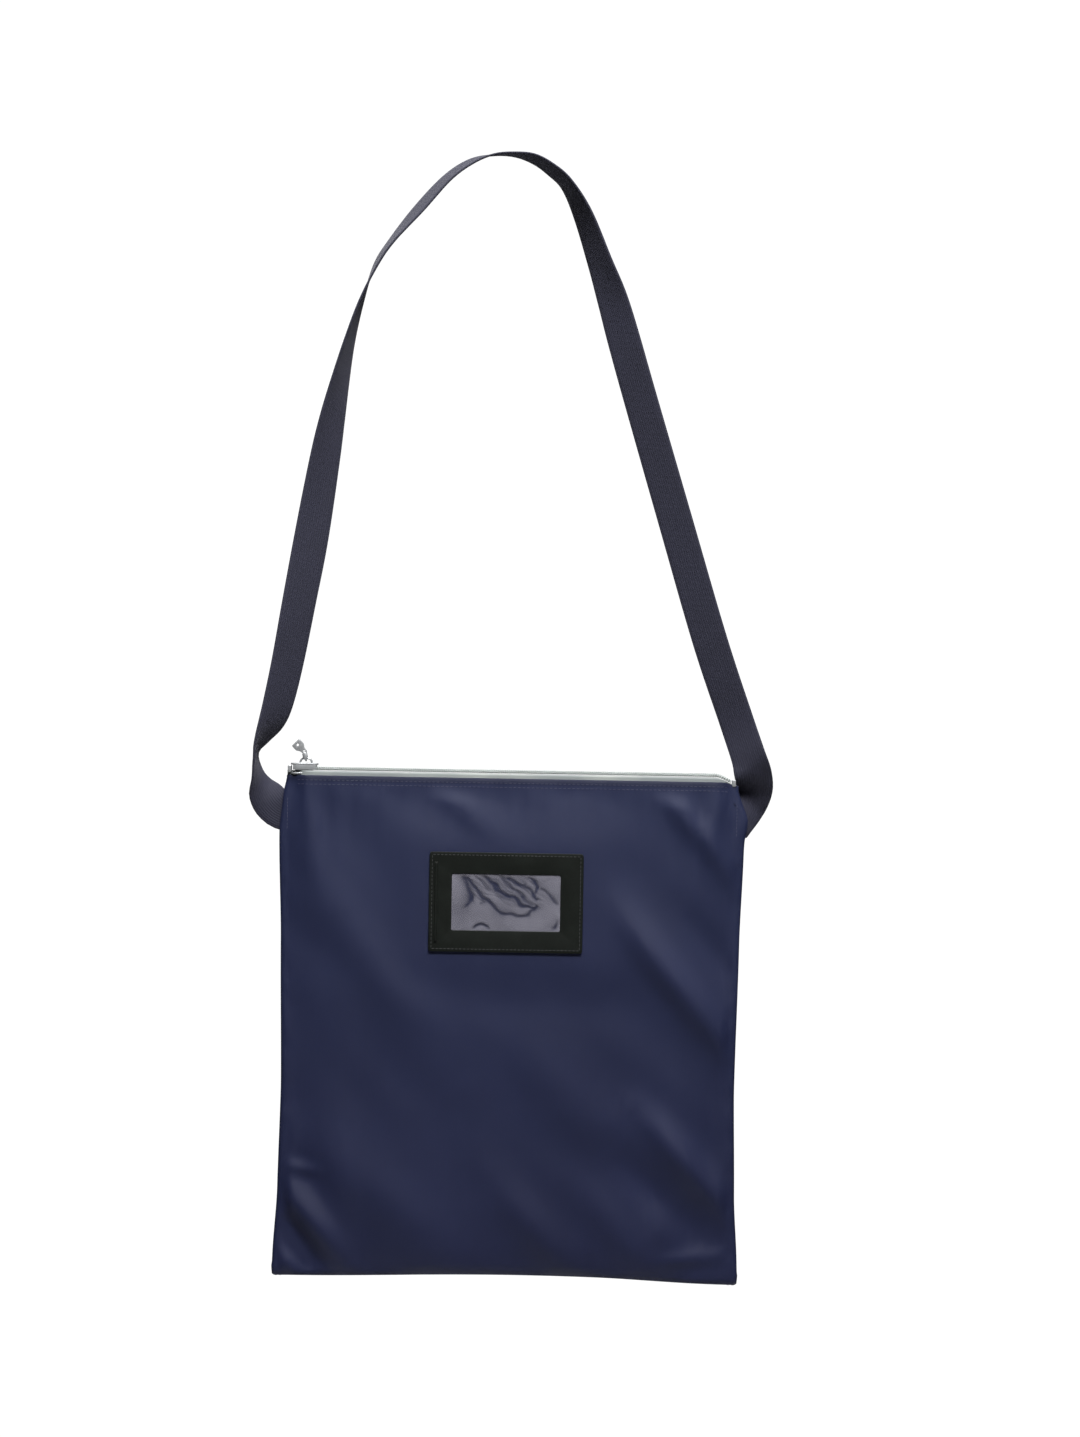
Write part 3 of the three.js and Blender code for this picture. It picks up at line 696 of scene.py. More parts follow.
class DepositBagSettings(PropertyGroup):
    """Sizes and colours that a user would change."""

    cloth_colour: colour_property(
        "Cloth colour", "Colour of the coated nylon panels", (0.0074, 0.0102, 0.041))
    webbing_colour: colour_property(
        "Webbing colour", "Colour of the strap", (0.0154, 0.0156, 0.029))
    tape_colour: colour_property(
        "Zip tape colour", "Colour of the woven zip tapes", (0.205, 0.225, 0.225))
    coil_colour: colour_property(
        "Coil colour", "Colour of the zip's nylon coil", (0.42, 0.45, 0.44))
    nickel_colour: colour_property(
        "Metal colour", "Colour of the slider, its pull and the stops", (0.36, 0.37, 0.38))
    vinyl_colour: colour_property(
        "Frame colour", "Colour of the card window's frame", (0.0045, 0.0062, 0.0048))
    film_colour: colour_property(
        "Film colour", "Haze colour of the clear window film", (0.235, 0.23, 0.275))
    binding_colour: colour_property(
        "Binding colour", "Colour of the tape that binds the inside seams", (0.018, 0.020, 0.042))
    film_haze: FloatProperty(
        name="Film haze", description="How much the window film hides of what is behind it",
        default=0.42, min=0, max=1, subtype="FACTOR")
    thread_pitch: length_property(
        "Thread pitch", "Width of one thread of the panel cloth", 0.45 * MM)
    rib_pitch: length_property(
        "Rib pitch", "Width of one rib of the strap webbing", 1.55 * MM)
    cloth_thickness: length_property(
        "Cloth thickness", "Thickness of one layer of panel cloth", 0.45 * MM)
    strap_width: FloatProperty(
        name="Strap width", description="Width of the strap webbing",
        default=25 * MM, unit="LENGTH")
    strap_thickness: length_property(
        "Strap thickness", "Thickness of the strap webbing", 1.4 * MM)
    coil_pitch: length_property(
        "Coil pitch", "Distance from one turn of the zip's coil to the next", 1.45 * MM)
    stitch_length: length_property(
        "Stitch length", "Distance from one stitch to the next", 3.0 * MM)
    cloth_frames: IntProperty(
        name="Cloth frames", description="How many frames the pouch's cloth settles for",
        default=34, min=1, max=120)


def settings_now():
    return bpy.context.scene.deposit_bag


def material_named(name, build):
    """The material of that name, built the first time that it is asked for."""
    return bpy.data.materials.get(name) or build()


def cloth_finish():
    return material_named("coated_nylon", lambda: coated_nylon(settings_now()))


def nickel_finish():
    return material_named("nickel_plate", lambda: nickel_material(settings_now()))


def navy_thread():
    return material_named("navy_thread", lambda: thread_material("navy_thread", (0.022, 0.024, 0.06)))


def black_thread():
    return material_named("black_thread", lambda: thread_material("black_thread", (0.012, 0.013, 0.014)))


# ---- stage ----
CAMERA_AIM = Vector((0.0174, 0.0, -0.3728))
CAMERA_LENS = 85
SENSOR_WIDTH = 36
CLIP_END = 50
# name, place, what it faces, size, power in watts and spread in degrees
LIGHTS = (
    ("key_softbox", (0.18, -1.1, 1.15), (0, 0, -0.30), (0.7, 0.7), 9, 56),
    ("fill_softbox", (1.9, -1.5, 0.1), (0, 0, -0.5), (1.0, 1.6), 2.5, 180),
    ("top_softbox", (0.0, 0.15, 1.4), (0, 0.15, 0), (1.6, 1.6), 26, 180),
    ("back_softbox", (-0.5, 1.7, 0.5), (0, 0, -0.45), (1.2, 1.2), 9, 180),
)
SURROUND_ON_BAG = 0.085
SURROUND_SEEN = 1.05
FLOOR_DROP = 0.40
FLOOR_RADIUS = 0.7


class DEPOSITBAG_OT_stage(Operator):
    """Camera, soft lights, white surround and pale floor"""

    bl_idname = "deposit_bag.stage"
    bl_label = "Stage"

    view_distance: FloatProperty(
        name="View distance", description="From the camera to the bag's middle plane",
        default=2.256, unit="LENGTH")
    lean: FloatProperty(
        name="Lean", description="How far the bag leans clockwise in the picture",
        default=math.radians(1.0), subtype="ANGLE")

    def execute(self, context):
        self.add_camera(context)
        self.add_lights(context)
        self.add_surround(context)
        self.add_floor(context)
        return {"FINISHED"}

    def add_camera(self, context):
        data = bpy.data.cameras.new("camera")
        data.lens = CAMERA_LENS
        data.sensor_width = SENSOR_WIDTH
        data.clip_end = CLIP_END
        camera = bpy.data.objects.new("camera", data)
        context.scene.collection.objects.link(camera)
        right = Vector((math.cos(self.lean), 0, math.sin(self.lean)))
        up = Vector((-math.sin(self.lean), 0, math.cos(self.lean)))
        back = Vector((0, -1, 0))
        turn = Matrix((right, up, back)).transposed().to_4x4()
        camera.matrix_world = Matrix.Translation(CAMERA_AIM + back * self.view_distance) @ turn
        context.scene.camera = camera

    def add_light(self, context, name, place, aim, size, power, spread):
        data = bpy.data.lights.new(name, "AREA")
        data.spread = math.radians(spread)
        data.shape = "RECTANGLE"
        data.size, data.size_y = size
        data.energy = power
        lamp = bpy.data.objects.new(name, data)
        context.scene.collection.objects.link(lamp)
        lamp.location = place
        lamp.rotation_mode = "QUATERNION"
        lamp.rotation_quaternion = (Vector(aim) - Vector(place)).to_track_quat("-Z", "Y")

    def add_lights(self, context):
        for light in LIGHTS:
            self.add_light(context, *light)
        context.scene.view_settings.view_transform = "Standard"

    def add_surround(self, context):
        """A white surround that lights the bag less than it shows."""
        world = bpy.data.worlds.new("studio")
        world.use_nodes = True
        n = Nodes(world.node_tree)
        background = world.node_tree.nodes["Background"]
        background.inputs["Color"].default_value = (1, 1, 1, 1)
        path = n.add("ShaderNodeLightPath")
        strength = n.ramp(path.outputs["Is Camera Ray"], 0.0, 1.0, SURROUND_ON_BAG, SURROUND_SEEN)
        n.join(strength, background.inputs["Strength"])
        context.scene.world = world

    def add_floor(self, context):
        """A round pale table top below the hanging bag."""
        floor_z = BASE_Z - FLOOR_DROP
        bm = bmesh.new()
        bmesh.ops.create_circle(bm, cap_ends=True, segments=96, radius=FLOOR_RADIUS)
        bmesh.ops.translate(bm, verts=bm.verts[:], vec=(0, 0, floor_z))
        obj = link("studio_floor", mesh_from(bm, "studio_floor"), floor_material())


# ---- pouch ----
# Half the pouch's width by height, in metres: shoulders at the strap, a slight waist.
OUTLINE = [(HEM_Z, 0.1500), (HEM_Z - 0.0135, 0.1532), (-0.450, 0.1552), (-0.520, 0.1526), (-0.620, 0.1508),
           (-0.690, 0.1522), (-0.732, 0.1546), (-0.744, 0.1550), (BASE_Z, 0.1536)]


def half_width(z):
    """Half the pouch's width at height z."""
    knots = [Vector((height, width)) for height, width in OUTLINE]
    if z >= knots[0].x:
        return knots[0].y
    for a, b in zip(knots, knots[1:]):
        if z >= b.x:
            return mix(a.y, b.y, smoothstep((z - a.x) / (b.x - a.x)) * 0.5 + 0.5 * (z - a.x) / (b.x - a.x))
    return knots[-1].y


def base_sag(x):
    """The bottom seam rides up a little in the middle and droops at its right end."""
    return 0.0028 * math.exp(-((x - 0.005) / 0.085) ** 2) - 0.0016 * smoothstep((x - 0.06) / 0.09)


def ear(z):
    """The right panel edge is pulled out where the strap is sewn in."""
    return 3.4 * MM * math.exp(-((z + 0.438) / 0.010) ** 2)


def hem_wave(x):
    """The top edge runs straight with the zip and rounds off at its right end."""
    return -2.6 * MM * smoothstep((x - 0.139) / 0.011)


# Soft folds pressed into the cloth: ends as (x, z), half-width and height, in millimetres. Most run
# down to the right, as tension lines from the strap. The back has them mirrored and weaker.
FOLDS = [
    ((72, -498), (152, -598), 11, 4.2),
    ((116, -500), (156, -552), 10, -1.6),
    ((88, -630), (156, -706), 10, 3.8),
    ((72, -656), (134, -722), 12, -2.4),
    ((-157, -672), (-104, -738), 10, 4.6),
    ((-156, -698), (-124, -744), 8, -2.4),
    ((-153, -727), (-136, -746), 6, 1.9),
    ((-10, -678), (44, -740), 13, 1.9),
    ((-48, -418), (-6, -462), 9, 1.7),
    ((96, -414), (132, -458), 8, 2.4),
    ((128, -446), (156, -490), 8, 1.8),
    ((-112, -508), (-30, -610), 22, 2.6),
    ((-120, -652), (-30, -742), 20, 2.2),
    ((-153, -669), (-128, -673), 4, 1.2),
    ((98, -733), (150, -729), 6, 1.4),
    ((16, -456), (104, -562), 20, 1.6),
    ((-10, -562), (80, -662), 22, 1.6),
    ((-150, -440), (-104, -520), 14, 1.6),
    ((52, -680), (96, -742), 11, 1.0),
]


def fold_height(x, z):
    """How far the pressed folds stand out at (x, z), all in millimetres."""
    total = 0.0
    for (ax, az), (bx, bz), width, height in FOLDS:
        dx, dz = bx - ax, bz - az
        t = ((x - ax) * dx + (z - az) * dz) / (dx * dx + dz * dz)
        t = min(max(t, 0.0), 1.0)
        off = math.hypot(x - ax - t * dx, z - az - t * dz)
        taper = 0.12 + 0.88 * math.sin(math.pi * (0.06 + 0.88 * t))
        total += height * math.exp(-(off / width) ** 2) * taper
    return total


POUCH_COLUMNS = 64
POUCH_ROWS = 66
SEAM_HALF = 1.1 * MM
EDGE_ROLL = 7 * MM


def pouch_depth(inset, z):
    """Where the front cloth starts: `inset` metres in from the side seam, at height z."""
    roll = math.sqrt(max(0.0, 1 - (1 - min(inset / EDGE_ROLL, 1.0)) ** 2))
    edge = SEAM_HALF + 1.8 * MM * roll
    width = mix(12 * MM, 46 * MM, smoothstep((HEM_Z - z) / 0.07))
    rise = smoothstep((inset - 3 * MM) / width) * smoothstep((z - BASE_Z - 3 * MM) / 0.05)
    top = mix(7.4 * MM, FLAT_Y - 1.2 * MM, smoothstep((HEM_Z - z) / 0.035))
    base = math.sqrt(max(0.0, 1 - (1 - min((z - BASE_Z) / EDGE_ROLL, 1.0)) ** 2))
    return max(SEAM_HALF, min(edge, SEAM_HALF + 1.8 * MM * base) + rise * (top - SEAM_HALF - 1.8 * MM))


def pouch_bmesh():
    """Front and back cloth as two grids that share the side and bottom seams; material 1 is the back."""
    bm = bmesh.new()
    for side in (0, 1):
        before = set(bm.verts)
        faces_before = set(bm.faces)
        bmesh.ops.create_grid(bm, x_segments=POUCH_COLUMNS, y_segments=POUCH_ROWS, size=1.0)
        sign = -1 if side == 0 else 1
        for v in bm.verts:
            if v in before:
                continue
            u, w = v.co.x, (1 - v.co.y) / 2
            z = mix(HEM_Z, BASE_Z, w)
            half = half_width(z)
            x = half * (0.55 * u + 0.45 * math.sin(u * math.pi / 2))
            y = sign * pouch_depth(half - abs(x), z)
            if x > 0:
                x += ear(z) * (x / half) ** 6
            on_seam = abs(u) > 0.9999 or w > 0.9999
            shift = base_sag(x) * smoothstep((w - 0.7) / 0.3) + hem_wave(x) * smoothstep(1 - w / 0.1)
            v.co = Vector((x, 0.0 if on_seam else y, z + shift))
        for f in bm.faces:
            if f not in faces_before:
                f.material_index = side
    bmesh.ops.remove_doubles(bm, verts=bm.verts[:], dist=1e-6)
    bmesh.ops.recalc_face_normals(bm, faces=bm.faces[:])
    return bm


CLOTH_PHYSICS = {
    "quality": 7,
    "mass": 0.22,
    "tension_stiffness": 22,
    "compression_stiffness": 18,
    "shear_stiffness": 9,
    "bending_stiffness": 4.0,
    "tension_damping": 12,
    "compression_damping": 12,
    "shear_damping": 12,
    "air_damping": 4,
    "shrink_min": -0.003,
    "use_pressure": True,
    "uniform_pressure_force": 0.55,
    "vertex_group_mass": "held",
    "pin_stiffness": 1.4,
}


def settle_cloth(obj, frames):
    """Lets the pouch hang from its hem and strap ends, slightly filled with air."""
    group = obj.vertex_groups.new(name="held")
    for v in obj.data.vertices:
        x, y, z = v.co
        hem = smoothstep((z - (HEM_Z - 6 * MM)) / (5 * MM))
        anchor = smoothstep((abs(x) - 0.149) / 0.004) * smoothstep((z + 0.462) / 0.010)
        seam = 0.25 if abs(y) < SEAM_HALF * 1.01 else 0.0
        group.add([v.index], max(hem, anchor, seam), "REPLACE")
    cloth = obj.modifiers.new("cloth", "CLOTH")
    physics = cloth.settings
    for name, value in CLOTH_PHYSICS.items():
        setattr(physics, name, value)
    cloth.collision_settings.use_collision = False
    cloth.collision_settings.use_self_collision = False
    cloth.point_cache.frame_start = 1
    cloth.point_cache.frame_end = frames
    scene = bpy.context.scene
    scene.frame_start, scene.frame_end = 1, frames
    for step in range(1, frames + 1):
        scene.frame_set(step)
    bake_modifiers(obj)
    scene.frame_set(1)
    obj.vertex_groups.clear()


def cap_drift(obj, rest, limit, stand_out):
    """Keeps every settled point within limit of where it started, and inside the bag's depth."""
    for v, start in zip(obj.data.vertices, rest):
        move = v.co - start
        if move.length > limit:
            v.co = start + move * (limit / move.length)
        v.co.y = min(max(v.co.y, -stand_out), stand_out)


def keep_height(obj):
    """Takes out the stretch that the hanging cloth gained in height."""
    lowest = min(v.co.z for v in obj.data.vertices)
    ratio = (HEM_Z - BASE_Z) / (HEM_Z - lowest)
    for v in obj.data.vertices:
        v.co.z = HEM_Z + (v.co.z - HEM_Z) * ratio


def press_folds(bm):
    """Adds the pressed folds, the flat place under the window frame and the puckers at the seams."""
    flat_y = -FLAT_Y + 0.15 * MM
    for v in bm.verts:
        x, y, z = v.co
        sign = -1 if y < 0 else 1
        inset = min(half_width(z) - abs(x), z - BASE_Z)
        inner = smoothstep((inset - 1.5 * MM) / (10 * MM)) * smoothstep((HEM_Z - z - 4 * MM) / (14 * MM))
        wander = noise.noise(Vector((x * 15, z * 15, sign * 2.3))) * 6 * MM
        there = ((x * -sign + wander) / MM, (z - wander) / MM)
        height = fold_height(*there) * MM * (1.55 if sign < 0 else 1.0)
        slant = Vector(((x + z) * 26, (x - z) * 9, sign * 3.1))
        cloudy = noise.noise(slant) * 1.1 * MM
        height = (height + cloudy) * inner
        clear = 1.9 * MM * smoothstep(inset / (2 * MM))
        near_seam = math.exp(-((inset - 4 * MM) / (3.5 * MM)) ** 2)
        pucker = noise.noise(Vector((x * 95, z * 95, sign * 7.7))) * 0.55 * MM * near_seam
        near_hem = math.exp(-((HEM_Z - z - 9 * MM) / (9 * MM)) ** 2)
        drop = noise.noise(Vector((x * 55, z * 10, sign * 5.3))) * 0.5 * MM * near_hem
        v.co.y = sign * max(abs(y) + height + pucker + drop, min(abs(y), clear))
        if sign < 0:
            off_x = max(ID_LOW.x - x, x - ID_HIGH.x, 0.0)
            off_z = max(ID_LOW.z - z, z - ID_HIGH.z, 0.0)
            flat = 1 - smoothstep(math.hypot(off_x, off_z) / (42 * MM))
            v.co.y = mix(v.co.y, flat_y, flat)


def tuck_seams(bm):
    """Marks the points that both panels share and pulls them in, so the turned edges stand round them."""
    mark = bm.verts.layers.float.new("seam")
    for v in bm.verts:
        if len({f.material_index for f in v.link_faces}) < 2:
            continue
        v[mark] = 1.0
        below_hem = smoothstep((HEM_Z - v.co.z) / (20 * MM))
        v.co.x -= math.copysign(0.9 * MM, v.co.x) * smoothstep((abs(v.co.x) - 0.1) / 0.05) * below_hem
        v.co.z += 0.8 * MM * smoothstep((BASE_Z + 6 * MM - v.co.z) / (3 * MM))
        v.co.y *= 0.4


def hem_of(bm, sign):
    """Turns the top edge in and down, as a folded hem."""
    seam = bm.verts.layers.float["seam"]
    top = [e for e in bm.edges if e.is_boundary and not all(v[seam] > 0.5 for v in e.verts)]
    steps = [(0.35, 0.45), (0.55, 0.05), (0.3, -0.7), (0.0, -4.0), (0.0, -5.0)]
    for inward, rise in steps:
        made = bmesh.ops.extrude_edge_only(bm, edges=top)["geom"]
        verts = [g for g in made if isinstance(g, bmesh.types.BMVert)]
        for v in verts:
            v.co.y = sign * max(0.25 * MM, abs(v.co.y) - inward * MM)
            v.co.z += rise * MM
        top = [g for g in made if isinstance(g, bmesh.types.BMEdge) and all(v in verts for v in g.verts)]


def sheet_from(pouch, side, name):
    """One panel of the settled pouch as its own sheet, hemmed at the top."""
    bm = bmesh.new()
    bm.from_mesh(pouch.data)
    other = [f for f in bm.faces if f.material_index != side]
    bmesh.ops.delete(bm, geom=other, context="FACES")
    for f in bm.faces:
        f.material_index = 0
    hem_of(bm, -1 if side == 0 else 1)
    return thick_sheet(bm, name, cloth_finish(), settings_now().cloth_thickness)


MOST_DRIFT = 9 * MM
MOST_DEPTH = 14 * MM


class DEPOSITBAG_OT_panels(Operator):
    """Front and back panels, hung and settled as cloth"""

    bl_idname = "deposit_bag.panels"
    bl_label = "Cloth panels"

    def execute(self, context):
        bm = pouch_bmesh()
        mesh = bpy.data.meshes.new("pouch")
        bm.to_mesh(mesh)
        bm.free()
        pouch = bpy.data.objects.new("pouch", mesh)
        context.scene.collection.objects.link(pouch)
        rest = [v.co.copy() for v in mesh.vertices]
        settle_cloth(pouch, settings_now().cloth_frames)
        cap_drift(pouch, rest, MOST_DRIFT, MOST_DEPTH)
        keep_height(pouch)
        bm = bmesh.new()
        bm.from_mesh(pouch.data)
        bmesh.ops.subdivide_edges(bm, edges=bm.edges[:], cuts=1, use_grid_fill=True, smooth=0.8)
        press_folds(bm)
        tuck_seams(bm)
        bm.to_mesh(pouch.data)
        bm.free()
        for side, name in enumerate(("front_cloth", "back_cloth")):
            sheet = sheet_from(pouch, side, name)
            declare(sheet, "bag", "navy_nylon", ("front_panel", "back_panel")[side])
        bpy.data.objects.remove(pouch)
        return {"FINISHED"}


def surface_of(name):
    """A search tree over a piece's base mesh, for laying other pieces on it."""
    bm = bmesh.new()
    bm.from_mesh(bpy.data.objects[name].data)
    tree = BVHTree.FromBMesh(bm)
    bm.free()
    return tree


def on_cloth(tree, x, z, sign):
    """The point of the panel at (x, z) and its outward normal; sign is -1 for the front."""
    hit, normal, _, _ = tree.ray_cast(Vector((x, sign * 0.05, z)), Vector((0, -sign, 0)))
    if hit is None:
        raise RuntimeError(f"no cloth at x {x:.4f}, z {z:.4f}")
    if normal.y * sign < 0:
        normal.negate()
    return hit, normal


# ---- bound seams ----
SIDE_BINDING_TOP = -0.451
BASE_BINDING_REACH = 0.146
BINDING_WIDTH = 8 * MM
BINDING_THICKNESS = 0.9 * MM
BINDINGS = (
    (-1, "binding_left", "side_seam_left"),
    (1, "binding_right", "side_seam_right"),
    (0, "binding_base", "bottom_seam"),
)


def seam_points(side):
    """The settled seam between the panels: side -1 or 1 for a side seam from the top down, 0 for the base."""
    mesh = bpy.data.objects["front_cloth"].data
    seam = mesh.attributes["seam"].data
    points = [v.co.copy() for v in mesh.vertices if seam[v.index].value > 0.5]
    if side == 0:
        base = [p for p in points if p.z < BASE_Z + 8 * MM and abs(p.x) < BASE_BINDING_REACH]
        return sorted(base, key=lambda p: p.x)
    flank = [p for p in points if p.x * side > 0 and SIDE_BINDING_TOP > p.z > BASE_Z + 12 * MM]
    return sorted(flank, key=lambda p: -p.z)


class DEPOSITBAG_OT_bindings(Operator):
    """Tape that binds the raw edges inside the side and bottom seams"""

    bl_idname = "deposit_bag.bindings"
    bl_label = "Seam bindings"

    def execute(self, context):
        section = flat_section(BINDING_WIDTH, BINDING_THICKNESS, 2)
        for side, name, node in BINDINGS:
            inward = Vector((-side, 0, 0)) if side else Vector((0, 0, 1))
            reach = BINDING_WIDTH / 2 + 2.2 * MM
            rows = [(p + inward * reach, inward) for p in seam_points(side)]
            bm = tube_bmesh([row[0] for row in rows], section, acrosses=[row[1] for row in rows])
            obj = link(name, mesh_from(bm, name), material_named(
                "seam_binding_tape", lambda: binding_material(settings_now())))
            declare(obj, "bag", "seam_binding", node)
        return {"FINISHED"}


# ---- strap ----
# The strap's middle line in metres, from the left seam over the top to the right seam. The number
# is its twist out of the bag's plane in degrees: at 0 it lies in the plane with its inner edge
# towards the middle of the loop. Near the seams a direction from outer to inner edge stands instead.
STRAP_ROUTE = [
    ((-0.1475, 0, -0.4385), (0, 0, 1)),
    ((-0.1540, 0, -0.4368), (0, 0, 1)),
    ((-0.1585, 0.0002, -0.4335), (0.05, 0.05, 1)),
    ((-0.1625, 0.0005, -0.4285), (0.12, 0.24, 0.96)),
    ((-0.1672, 0.0006, -0.4205), (0.15, 0.56, 0.81)),
    ((-0.1700, 0, -0.4100), (0.08, 0.9, 0.42)),
    ((-0.1710, 0, -0.3985), 88),
    ((-0.1672, 0, -0.3895), 72),
    ((-0.1606, 0, -0.3769), 50),
    ((-0.1564, 0, -0.3635), 41),
    ((-0.1508, 0, -0.3368), 36),
    ((-0.1439, 0, -0.2968), 31),
    ((-0.1370, 0, -0.2568), 28),
    ((-0.1287, 0, -0.2034), 41),
    ((-0.1243, 0, -0.1767), 52),
    ((-0.1192, 0, -0.1500), 66),
    ((-0.1134, 0, -0.1233), 79),
    ((-0.1060, 0, -0.0970), 89),
    ((-0.0966, 0, -0.0725), 101),
    ((-0.0864, 0, -0.0564), 104),
    ((-0.0686, 0, -0.0348), 111),
    ((-0.0505, 0, -0.0145), 109),
    ((-0.0350, 0, -0.0034), 106),
    ((-0.0200, 0, 0.0014), 98),
    ((-0.0060, 0, 0.0019), 93),
    ((0.0070, 0, -0.0009), 84),
    ((0.0180, 0, -0.0074), 79),
    ((0.0290, 0, -0.0174), 75),
    ((0.0404, 0, -0.0382), 63),
    ((0.0523, 0, -0.0700), 52),
    ((0.0608, 0, -0.0937), 39),
    ((0.0688, 0, -0.1202), 32),
    ((0.0807, 0, -0.1600), 30),
    ((0.1049, 0, -0.2392), 27),
    ((0.1293, 0, -0.3186), 25),
    ((0.1478, 0, -0.3715), 27),
    ((0.1560, -0.0045, -0.3955), (-0.85, 0.42, -0.31)),
    ((0.1590, -0.0042, -0.4055), (-0.93, 0.2, -0.28)),
    ((0.1607, 0.0008, -0.4140), (-0.97, 0.05, 0.06)),
    ((0.1603, 0.0062, -0.4198), (-0.90, 0, 0.43)),
    ((0.1580, 0.0084, -0.4262), (-0.66, 0, 0.75)),
    ((0.1552, 0.0052, -0.4325), (-0.40, 0, 0.92)),
    ((0.1532, 0.0020, -0.4368), (-0.15, 0, 0.99)),
    ((0.1515, 0, -0.4385), (0, 0, 1)),
    ((0.1460, 0, -0.4392), (0, 0, 1)),
]
STRAP_ROWS = 340
FINE_STEPS = 2000
BEND_START = (0, 0, -0.445)
BEND_END = (0, 0, -0.400)


def strap_rows():
    """Centres and across-directions at even steps along the strap."""
    middles = [Vector(at) for at, _ in STRAP_ROUTE]
    last = len(middles) - 1
    acrosses = []
    for i, (_, turn) in enumerate(STRAP_ROUTE):
        if isinstance(turn, tuple):
            acrosses.append(Vector(turn).normalized())
            continue
        along = middles[min(i + 1, last)] - middles[max(i - 1, 0)]
        inward = Vector((0, 1, 0)).cross(along).normalized()
        angle = math.radians(turn)
        acrosses.append(inward * math.cos(angle) + Vector((0, math.sin(angle), 0)))
    fine = []
    for k in range(FINE_STEPS + 1):
        t = k / FINE_STEPS
        fine.append((spline_at(middles, t), spline_at(acrosses, t)))
    lengths = [0.0]
    for a, b in zip(fine, fine[1:]):
        lengths.append(lengths[-1] + (b[0] - a[0]).length)
    rows = []
    k = 0
    for i in range(STRAP_ROWS + 1):
        goal = lengths[-1] * i / STRAP_ROWS
        while k < FINE_STEPS - 1 and lengths[k + 1] < goal:
            k += 1
        t = (goal - lengths[k]) / max(lengths[k + 1] - lengths[k], 1e-9)
        rows.append((fine[k][0].lerp(fine[k + 1][0], t), fine[k][1].lerp(fine[k + 1][1], t).normalized()))
    return rows


class DEPOSITBAG_OT_strap(Operator):
    """Webbing strap, sewn into both side seams"""

    bl_idname = "deposit_bag.strap"
    bl_label = "Strap"

    def execute(self, context):
        settings = settings_now()
        rows = strap_rows()
        section = flat_section(settings.strap_width, settings.strap_thickness, 8)
        bm = tube_bmesh([row[0] for row in rows], section, acrosses=[row[1] for row in rows], uv="strip")
        obj = link("strap_webbing", mesh_from(bm, "strap_webbing"), webbing_material(settings))
        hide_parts("strap", "strap_end_left", "strap_end_right")
        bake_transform(obj, "bag", "strap", start=BEND_START, end=BEND_END)
        return {"FINISHED"}


# ---- zip ----
TAPE_THICKNESS = 0.5 * MM
TAPE_STEPS = 150
COIL_WIRE = 0.32 * MM


def zip_droop(x):
    """The zip curves down into the seam at its right-hand end."""
    return -5.5 * MM * smoothstep((x - 0.134) / 0.017)


class DEPOSITBAG_OT_zip_tapes(Operator):
    """Woven tapes on both sides of the coil, turned down inside the hems"""

    bl_idname = "deposit_bag.zip_tapes"
    bl_label = "Zip tapes"

    def execute(self, context):
        top = TAPE_HIGH.z
        outer = -TAPE_LOW.y
        # |y| and z of the outer face, from the edge under the coil to the edge inside the panel
        curl = 1.3 * MM
        profile = [(1.3 * MM, top), (2.6 * MM, top), (3.9 * MM, top), (outer - curl, top + 0.05 * MM)]
        for step in range(1, 6):
            angle = math.pi / 2 * step / 5
            reach = outer - curl + curl * math.sin(angle)
            profile.append((reach, top - curl * (1 - math.cos(angle))))
        profile += [(outer + 0.1 * MM, top - 3.2 * MM), (outer + 0.1 * MM, top - 6 * MM),
                    (outer - 0.1 * MM, top - 10 * MM), (outer - 0.4 * MM, top - 15 * MM)]
        for sign, name in ((-1, "tape_front"), (1, "tape_back")):
            self.add_tape(sign, name, profile)
        return {"FINISHED"}

    def add_tape(self, sign, name, profile):
        low, high = TAPE_LOW.x, TAPE_HIGH.x
        bm = bmesh.new()
        bmesh.ops.create_grid(bm, x_segments=TAPE_STEPS, y_segments=len(profile) - 1, size=1.0)
        layer = bm.loops.layers.uv.new("strip")
        runs = [0.0]
        for a, b in zip(profile, profile[1:]):
            runs.append(runs[-1] + math.hypot(b[0] - a[0], b[1] - a[1]))
        for v in bm.verts:
            x = mix(low, high, (v.co.x + 1) / 2)
            k = round((v.co.y + 1) / 2 * (len(profile) - 1))
            y, z = profile[k]
            for loop in v.link_loops:
                loop[layer].uv = (runs[k], x)
            # the tape narrows to fit between the panels where they close on the side seam
            room = max(0.3 * MM, pouch_depth(0.15 - abs(x), HEM_Z) - 1.1 * MM)
            if abs(x) > 0.130:
                z = mix(z, max(z, HEM_Z - 3.2 * MM), smoothstep((abs(x) - 0.130) / 0.006))
            y = min(y, room)
            free = smoothstep((y - 4 * MM) / (2 * MM))
            ripple = noise.noise(Vector((x * 60, sign * 9.0, z * 40))) * 0.25 * MM * free
            v.co = Vector((x, sign * (y + ripple), z + zip_droop(x)))
        bmesh.ops.recalc_face_normals(bm, faces=bm.faces[:])
        upward = sum(f.normal.z for f in bm.faces)
        if upward < 0:
            bmesh.ops.reverse_faces(bm, faces=bm.faces[:])
        finish = material_named("zip_tape_weave", lambda: tape_material(settings_now()))
        obj = thick_sheet(bm, name, finish, TAPE_THICKNESS)
        declare(obj, "bag", "zip_tape", "zip_" + name)


